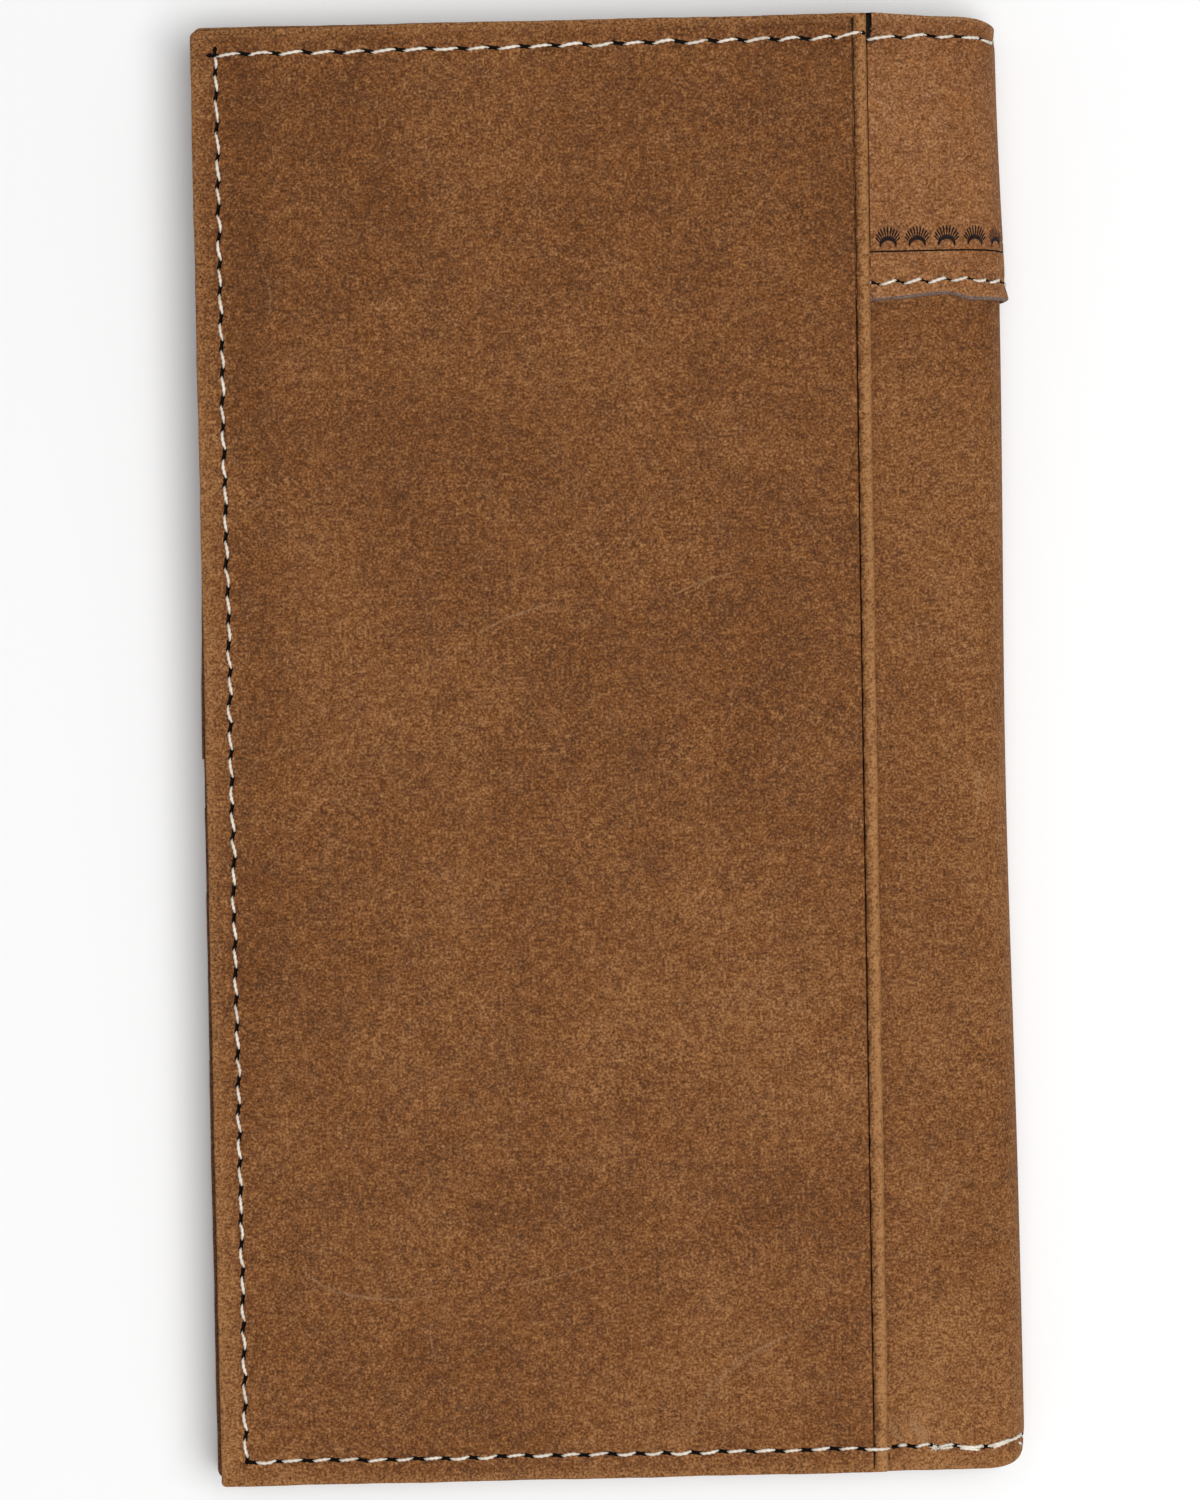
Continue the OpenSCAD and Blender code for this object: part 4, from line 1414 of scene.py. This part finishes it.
# %% Stamp the fans
FAN_PITCH = 3.45
FAN_Y = 58.4
LINE_Y = 57.83
FAN_RAYS = 11
FAN_SPREAD = 97
CRESCENT_R = 0.92
RAY_FOOT_R = 1.06
RAY_ARC_W = 1.42
RAY_ARC_Y = 0.98
RAY_ARC_H = 1.3
RAY_ROOTS = 62
RAY_TIPS = 88
RAY_WIDTHS = np.array([0.11, 0.16, 0.2, 0.15])


def fan(x, y, size=1.0, turn=0.0):
    """One stamped fan about the middle of its crescent: legs down, and rays spread to a wide arc."""
    def at(across, up):
        return (x + size * (across * math.cos(turn) - up * math.sin(turn)),
                y + size * (across * math.sin(turn) + up * math.cos(turn)))
    angles = np.radians(np.linspace(-FAN_SPREAD, FAN_SPREAD, 11))
    crescent = [at(CRESCENT_R * math.sin(angle), CRESCENT_R * math.cos(angle)) for angle in angles]
    marks = [stroke(crescent, size * (0.5 * np.cos(angles * 0.84) + 0.06), 0.17, "tool")]
    for share in np.linspace(-1, 1, FAN_RAYS):
        root, tip = share * math.radians(RAY_ROOTS), share * math.radians(RAY_TIPS)
        start = np.array([RAY_FOOT_R * math.sin(root), RAY_FOOT_R * math.cos(root)])
        stop = np.array([RAY_ARC_W * math.sin(tip), RAY_ARC_Y + RAY_ARC_H * math.cos(tip)])
        ray = [at(*(start + (stop - start) * part)) for part in (0.0, 0.35, 0.75, 1.0)]
        marks.append(stroke(ray, size * RAY_WIDTHS, 0.12, "tool"))
    return marks


# %% Make the yoke
YOKE_BEND = math.pi * YOKE_R
YOKE_LOW = YOKE_Y - 0.6
HEM_Y = 54.2
NOTCH_LOW = TOP_ROW_Y - 0.7
PARED = 0.4
PARED_T = 0.25
STAND_OFF = 0.3
STAND_OFF_REACH = 2.4
yoke_place = round_spine(YOKE_R)
yoke_rows = {
    "head": bent_row(
        YOKE_BEND, TOP_ROW_Y, BEND_X - mouth_at(TOP_ROW_Y) - 0.2, HEAD_PITCH, 2.3, -0.1, 51, YOKE_R, 0.15,
        [(8.43, 2.75, -0.11, -0.1), (4.58, 2.65, -0.16, -0.1), (0.94, 2.0, -0.07, -0.2),
         (-2.4, 2.0, -0.02, -0.3), (-5.5, 2.2, 0.04, -0.5)],
    ),
    "hem": bent_row(
        YOKE_BEND, HEM_Y, BEND_X - mouth_at(HEM_Y) + 0.6, 2.78, 1.9, -0.27, 52, YOKE_R, 0.1,
        [(10.9, 1.5, -0.25, -0.08), (8.24, 1.95, -0.32, -0.03), (5.39, 1.95, -0.3, 0.06),
         (2.53, 1.95, -0.32, 0.12), (-0.18, 1.9, -0.24, 0.18), (-2.85, 1.6, -0.1, 0.1),
         (-5.5, 1.7, -0.25, 0.0)],
    ),
    "side": front_row(HEM_Y + 1.1, TOP_ROW_Y - 0.6, 53),
}


def yoke_low_shift(s):
    """The lower edge bows up before it turns round the spine."""
    u = s - YOKE_BEND
    reach = np.where(u > 1.2, 6.0, 1.7)
    return 0.72 * hump(u, 1.2, reach) + 0.1 * bulge(s, YOKE_R)


def above_hem(flat):
    """Distance above the yoke's lower edge."""
    return flat[:, 1] - YOKE_LOW - yoke_low_shift(flat[:, 0])


def stand_off(flat):
    """How far the lower edge stands off where it rounds the spine."""
    return STAND_OFF * smooth(1 - above_hem(flat) / STAND_OFF_REACH) * bulge(flat[:, 0], YOKE_R) ** 2


def full_edge(y):
    """Where the yoke steps down to the tongue that runs under the panel."""
    notch = 0.08 + 0.55 * smooth((y - NOTCH_LOW) / 0.4)
    return YOKE_BEND + BEND_X - mouth_at(y) - notch


def yoke_face(flat):
    """Channels, waves, the pared edge and the tongue."""
    calm = bulge(flat[:, 0], YOKE_R) ** 2
    height = seam_relief(flat, yoke_rows.values()) + ripple(flat, 0.04, 54) * (1 - calm) + stand_off(flat)
    height -= (YOKE_T - PARED_T) * np.clip(1 - above_hem(flat) / PARED, 0, 1) ** 1.3
    tongue = np.where(flat[:, 1] > NOTCH_LOW, 0.2, 0.37) - YOKE_T
    return np.where(flat[:, 0] > full_edge(flat[:, 1]) + 0.04, tongue, height)


def yoke_tone(flat):
    """Paler below the tooled line, and where the spine rubs."""
    spine = hump(flat[:, 0], 0.6 * YOKE_BEND, 1.8)
    head = smooth((flat[:, 1] - 78) / 5) * (1 - spine)
    return 0.03 + 0.14 * spine + 0.03 * (flat[:, 1] < LINE_Y) - 0.1 * head


def yoke_band(flat):
    """The pared edge shows the grey core, and the notch beside the bead's head is painted black as the shade
    in that gap.
    """
    notch = (flat[:, 0] > full_edge(flat[:, 1])) & (flat[:, 1] > NOTCH_LOW)
    # The notch takes the hole material: painted shade.
    return np.where(above_hem(flat) < PARED, EDGE_SLOT, np.where(notch, KINDS["hole"], 0))


hem_s = spaced(-FRONT_W + 0.8, YOKE_BEND + BEND_X - TONGUE_X - 0.8, 0.9)
hem_line = np.array([(s, YOKE_LOW + yoke_low_shift(np.array([s]))[0] + PARED) for s in hem_s])
line_s = spaced(-FRONT_W + 0.5, YOKE_BEND + BEND_X - mouth_at(LINE_Y) + 0.2, 0.9)
yoke_marks = [stroke([(s, LINE_Y) for s in line_s], [0.2] * len(line_s), 0.2, "tool")]
for name, width, waist in (("head", 0.44, 0.75), ("hem", 0.38, 0.5), ("side", 0.48, 0.8)):
    yoke_marks += seam_holes(yoke_rows[name], width=width, depth=0.42, waist=waist)
fan_draw = np.random.default_rng(55)
first_fan = YOKE_BEND + 8.2
for number in range(-1, int((first_fan + FRONT_W - 1.8) / FAN_PITCH) + 1):
    middle = first_fan - number * FAN_PITCH
    if middle < YOKE_BEND + BEND_X - mouth_at(FAN_Y) - 1.5 and middle > -FRONT_W + 2:
        yoke_marks += fan(middle, FAN_Y + fan_draw.normal(0, 0.05), fan_draw.uniform(0.97, 1.03),
                          fan_draw.normal(0, 0.03))
step_rows = spaced(YOKE_LOW + 1.0, TOP_Y - 0.6, 0.8)
yoke_extent = (YOKE_R, FRONT_W, BEND_X - TONGUE_X, YOKE_LOW, TOP_Y)
yoke_points = np.concatenate([
    bent_points(*yoke_extent, 2.4, 0.62, 1.5),
    *[seam_points(row) for row in yoke_rows.values()],
    np.array([(full_edge(y) + side, y) for y in step_rows for side in (0.0, 0.08)]),
    hem_line + (0, 0.6), hem_line + (0, 1.3),
])
yoke_outline = bent_outline(
    *yoke_extent, yoke_low_shift, head_sag(YOKE_BEND), corners=(0, 0, 0, LEAF_CORNER), seed=56
)
yoke_pieces = sheet(
    "yoke", yoke_place, yoke_outline, YOKE_T - LAYER_GAP, (yoke_leather, *WORKED_IN),
    cuts=bend_cuts(YOKE_R), marks=yoke_marks, points=yoke_points, lines=[hem_line],
    under_points=bent_points(*yoke_extent, 5, 0.8, 3), face=yoke_face, under=stand_off, tone=yoke_tone,
    hide_offset=(600, 0), thick_from_top=True, rounding=0.2, band=yoke_band,
)
bend_with_spine(yoke_pieces, layer_nodes("yoke"))


def yoke_thread_level(flat):
    """The thread is pressed flatter on the front leaf, which lies on the table."""
    return yoke_face(flat) - 0.14 * (flat[:, 0] < 2)


for name, seam_name in (("head", "edge_seam"), ("side", "edge_seam"), ("hem", "yoke_seam")):
    sew(spine_group(YOKE_R, seam_name), yoke_place, yoke_rows[name], yoke_thread_level)

# %% Double and fray the last stitches at the foot
FRAYED_ENDS = 14
fray_draw = np.random.default_rng(61)
foot_row = shell_rows["foot"]


def extra_stitch(u, y, length, lean, thick):
    """One more piece of thread at the shell's foot."""
    row = {
        **foot_row, "along": np.array([SHELL_BEND + u - FRONT_ROW]), "length": np.array([length]),
        "lean": np.array([lean]), "aside": np.array([y - BOTTOM_ROW_Y]), "thick": thick,
    }
    sew(spine_group(SHELL_R, "edge_seam"), shell_place, row, lambda flat: shell_face(flat) + 0.06)


for u, y, length, lean in ((1.6, -83.55, 2.1, 0.12), (0.9, -83.3, 1.6, -0.22), (-2.3, -83.15, 1.9, -0.26),
                           (4.35, -83.35, 1.4, -0.1), (-5.7, -83.4, 0.9, 0.4)):
    extra_stitch(u, y, length, lean, 0.34)
for _ in range(FRAYED_ENDS):
    u = 5.7 + fray_draw.normal(0, 0.3)
    y = -83.3 + fray_draw.normal(0, 0.18)
    length = fray_draw.uniform(0.3, 0.6)
    lean = fray_draw.normal(0, 1.2)
    extra_stitch(u, y, length, lean, fray_draw.uniform(0.07, 0.12))

# %% [markdown]
# ## The lining
# Thin suede covers the inside of the shell. It shows in the gutter when the cover lies open.

# %% Make the lining
lining_outline = bent_outline(
    LINING_R, FRONT_W - 0.1, BACK_W - 0.1, BOTTOM_Y + 0.1, TOP_Y - 0.4, foot_rise(LINING_R),
    head_sag(math.pi * LINING_R), seed=71,
)
lining_points = bent_points(LINING_R, FRONT_W, BACK_W, BOTTOM_Y, TOP_Y, 5, 0.7, 3)
lining_pieces = sheet(
    "lining", round_spine(LINING_R), lining_outline, LINING_T, (lining_suede, *WORKED_IN),
    cuts=bend_cuts(LINING_R), points=lining_points, under_points=lining_points, hide_offset=(900, 0),
    rounding=0.08, under_rounding=0.08, thick_from_top=True,
)
bend_with_spine(lining_pieces, layer_nodes("lining"))

# %% [markdown]
# ## Card pockets on the front leaf
# Inside, a backing panel carries two banks of four card pockets. Every pocket is a full sheet of thinner
# leather, and each mouth lies a thumb's width below the one behind it. A creased line strengthens every
# mouth.

# %% Work out the seams inside
GUTTER_IN = 1.2
SEAM_UP = 2.6
CREASE_W = 0.26
CREASE_DEPTH = 0.14
PIECE_GAP = 0.01
POCKETS = [f"card_pocket_{number}" for number in range(1, 9)]
front_stack = {name: box_mm(name) for name in ["card_backing", *POCKETS]}
bank_seam_y = front_stack["card_pocket_1"][0][1] + SEAM_UP
front_side_x = FRONT_X + FRONT_SIDE
gutter_x = BEND_X - GUTTER_IN
INNER_STEP = 1.2
INNER_WANDER = 0.03


def bobbin(start, stop, seed, pitch=PITCH, length=1.8):
    """A row of the finer thread inside."""
    return seam(start, stop, pitch, length, 0.1, seed, thick=BOBBIN)


def rows_round(side_x, seed):
    """The seams round a leaf, from where its side seam lies."""
    end_x = BEND_X - 0.3
    return {
        "side": bobbin((side_x, TOP_ROW_Y - 0.5), (side_x, BOTTOM_ROW_Y + 0.5), seed),
        "top": bobbin((side_x + 0.6, TOP_ROW_Y), (end_x, TOP_ROW_Y), seed + 1, HEAD_PITCH, 2.1),
        "bottom": bobbin((side_x + 0.6, BOTTOM_ROW_Y), (end_x, BOTTOM_ROW_Y), seed + 2),
    }


inner_front_rows = rows_round(front_side_x, 81)
pocket_rows = {
    "gutter": bobbin((gutter_x, TOP_ROW_Y - 1), (gutter_x, BOTTOM_ROW_Y + 1), 84),
    "bank": bobbin((front_side_x + 1, bank_seam_y), (gutter_x - 1, bank_seam_y), 85),
}


def front_top(y):
    """The highest piece inside the front leaf at a place along the cover, and its level."""
    return max((high[2], name) for name, (low, high) in front_stack.items() if low[1] < y < high[1])


# %% Make the backing and the card pockets
def inner_sheet(name, node, place, outline, thickness, rows, shows, body, seed, crease=None, holes=(),
                more=()):
    """A piece inside the cover. Shows tells where its face is not covered by another piece."""
    marks = list(more)
    points = [grid(spaced(outline[:, 0].min(), outline[:, 0].max(), 3.2),
                   spaced(outline[:, 1].min(), outline[:, 1].max(), 3.2))]
    for row in rows:
        marks += seam_holes(row, depth=0.26, only=lambda path: all(shows(place) for place in path))
        spots = seam_points(row)
        points.append(spots[[shows(spot) for spot in spots]])
    if crease is not None:
        left, right = outline[:, 0].min() + 4.4, outline[:, 0].max() - 2.4
        path = [(x, crease) for x in spaced(left, right, 2.0)]
        marks.append(stroke(path, [0.05, *[CREASE_W] * (len(path) - 2), 0.05], CREASE_DEPTH, "crease"))
    piece = sheet(
        name, place, outline, thickness, (inner_leather, *WORKED_IN), marks=marks, holes=holes,
        points=np.concatenate(points), under_points=points[0][::3], rounding=0.2, under_rounding=0.08,
        face=lambda flat: seam_relief(flat, rows) * 0.8, hide_offset=(seed * 37.0, seed * 53.0),
        wear_reach=0.8,
    )[0]
    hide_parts(node)
    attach(piece, body)
    return piece


front_rows = [*inner_front_rows.values(), *pocket_rows.values()]
for number, (node, (low, high)) in enumerate(front_stack.items()):
    radii = (LEAF_CORNER if low[1] < BOTTOM_Y + 1 else 0, 0, 0, LEAF_CORNER if high[1] > TOP_Y - 1 else 0)
    outline = rounded_outline(
        rectangle(low, high), radii, step=INNER_STEP, wander=INNER_WANDER, seed=90 + number
    )
    outline = sagged(trimmed(outline, low[0]))
    inner_sheet(
        f"{node}_leather", node, face_up(low[2]), outline, high[2] - low[2] - PIECE_GAP, front_rows,
        lambda spot, name=node: front_top(spot[1])[1] == name, "front_leaf", number + 1,
        crease=None if node == "card_backing" else high[1] - 1.9,
    )
for group, rows in (("inner_seam_front", inner_front_rows), ("pocket_seam", pocket_rows)):
    for row in rows.values():
        def level_at(flat):
            """The leather under a stitch, which steps up at each pocket's mouth."""
            reach = 0.9 * abs(row["way"][1])
            top = max(front_top(flat[0, 1] - reach)[0], front_top(flat[0, 1] + reach)[0])
            return np.array([top]) - 0.05
        sew(group, face_up(0), row, level_at)

# %% [markdown]
# ## Checkbook pocket and card window on the back leaf
# The back leaf holds the checks in one large pocket, open to the spine and notched for a thumb. A leather
# frame on its outside holds a clear window for a card.

# %% Make the checkbook pocket
pocket_low, pocket_high = box_mm("checkbook_pocket")
frame_low, frame_high = box_mm("card_window_frame")
pane_low, pane_high = box_mm("card_window_pane")
NOTCH_R = 8.0
NOTCH_Y = pocket_low[1] + 50.0
back_side_x = BACK_X + FRONT_SIDE
inner_back_rows = rows_round(back_side_x, 101)
window_low_y = frame_low[1] + SEAM_UP
window_rows = {
    "low": bobbin((back_side_x + 1, window_low_y), (gutter_x - 1, window_low_y), 104),
    "gutter": bobbin((gutter_x, window_low_y), (gutter_x, frame_high[1] - SEAM_UP), 105),
}
pocket_outline = rounded_outline(
    rectangle((BACK_X, BOTTOM_Y), (BEND_X, TOP_Y)), (LEAF_CORNER, 0, 0, LEAF_CORNER), step=INNER_STEP
)
at_notch = (pocket_outline[:, 0] > BEND_X - 0.01) & (np.abs(pocket_outline[:, 1] - NOTCH_Y) < NOTCH_R)
right_side = np.where(at_notch)[0]
turns = np.linspace(-math.pi / 2, math.pi / 2, 25)
notch = np.array([(BEND_X - NOTCH_R * math.cos(turn), NOTCH_Y + NOTCH_R * math.sin(turn)) for turn in turns])
pocket_outline = np.concatenate([pocket_outline[: right_side[0]], notch, pocket_outline[right_side[-1] + 1:]])
pocket_outline = sagged(pocket_outline)


def under_frame(spot):
    """Whether the window frame covers a place on the back leaf's inner face."""
    return frame_low[1] < spot[1] < frame_high[1]


inner_sheet(
    "checkbook_pocket_leather", "checkbook_pocket", face_down(pocket_high[2]), pocket_outline,
    pocket_high[2] - pocket_low[2] - PIECE_GAP, list(inner_back_rows.values()),
    lambda spot: not under_frame(spot), "back_leaf", 11,
)

# %% Make the card window
WINDOW_IN = 6.5
WINDOW_CORNERS = (3, 3, 3, 3)
WINDOW_CREASE_OUT = 1.7
frame_outline = sagged(rounded_outline(
    rectangle(frame_low, frame_high), (0, 0, 0, 0), step=INNER_STEP, wander=INNER_WANDER, seed=111
))
window = rectangle(frame_low + WINDOW_IN, frame_high - WINDOW_IN)
window_outline = rounded_outline(window, WINDOW_CORNERS, step=INNER_STEP)
ring = inset(rounded_outline(window, WINDOW_CORNERS, step=2.0), -WINDOW_CREASE_OUT)
ring = np.concatenate([ring, ring[-1:] + (ring[:1] - ring[-1:]) * 0.9])
window_crease = stroke(ring, [CREASE_W] * len(ring), CREASE_DEPTH, "crease")
inner_sheet(
    "card_window_frame_leather", "card_window_frame", face_down(frame_high[2]), frame_outline,
    frame_high[2] - frame_low[2] - PIECE_GAP, [*inner_back_rows.values(), *window_rows.values()],
    under_frame, "back_leaf", 12, holes=[window_outline], more=[window_crease],
)
pane_corners = rectangle((pane_low[0] + 1, pane_low[1] + 1), (pane_high[0] - 0.5, pane_high[1] - 1))
pane_outline = rounded_outline(pane_corners, (1, 1, 1, 1), step=1.5)
pane = sheet(
    "card_window_pane_vinyl", face_down(pane_high[2] - PIECE_GAP), pane_outline,
    pane_high[2] - pane_low[2] - 0.03, [clear_vinyl] * 4, rounding=0.05, under_rounding=0.05,
    points=grid(spaced(pane_low[0], pane_high[0], 4), spaced(pane_low[1], pane_high[1], 4)),
    face=lambda flat: ripple(flat, 0.008, 112),
)[0]
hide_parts("card_window_pane")
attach(pane, "back_leaf")
for group, rows in (("inner_seam_back", inner_back_rows), ("window_seam", window_rows)):
    for row in rows.values():
        def level_below(flat):
            """The leather under a stitch on the back leaf's inner face."""
            reach = 0.9 * abs(row["way"][1])
            framed = any(under_frame((flat[0, 0], flat[0, 1] + side)) for side in (-reach, reach))
            return np.array([-(frame_low[2] if framed else pocket_low[2])]) - 0.05
        sew(group, face_down(0), row, level_below)

# %% Sew all the seams
for body, groups in (
    ("front_leaf", ("edge_seam_front", "yoke_seam_front", "inner_seam_front", "pocket_seam")),
    ("back_leaf", ("edge_seam_back", "yoke_seam_back", "inner_seam_back", "window_seam")),
):
    for group in groups:
        piece = make_thread(group, f"{group}_thread")
        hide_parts(group)
        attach(piece, body)
spine_threads = [make_thread(f"spine_{number}", f"spine_seam_{number}_thread") for number in (1, 2, 3, 4)]
thread_nodes = [("spine_seam_1",), ("spine_seam_2",), ("spine_seam_3",), ("spine_seam_3",)]
bend_with_spine(spine_threads, thread_nodes)

# %% [markdown]
# ## The table
# A plain, almost white surface fills the picture, a hair below the stitches on the front leaf.

# %% Lay the floor
FLOOR_Z = -0.12
FLOOR_HALF = 2.0
FLOOR_WHITE = 0.915
floor_mesh = bpy.data.meshes.new("floor")
floor_corners = rectangle((-FLOOR_HALF, -FLOOR_HALF), (FLOOR_HALF, FLOOR_HALF))
floor_mesh.from_pydata([(x, y, FLOOR_Z * MM) for x, y in floor_corners], [], [(0, 1, 2, 3)])
floor_material, _, floor_finish = new_material("floor")
floor_finish({"Base Color": (FLOOR_WHITE, FLOOR_WHITE, FLOOR_WHITE, 1), "Roughness": 0.9})
floor_mesh.materials.append(floor_material)
floor = new_object("floor", floor_mesh)
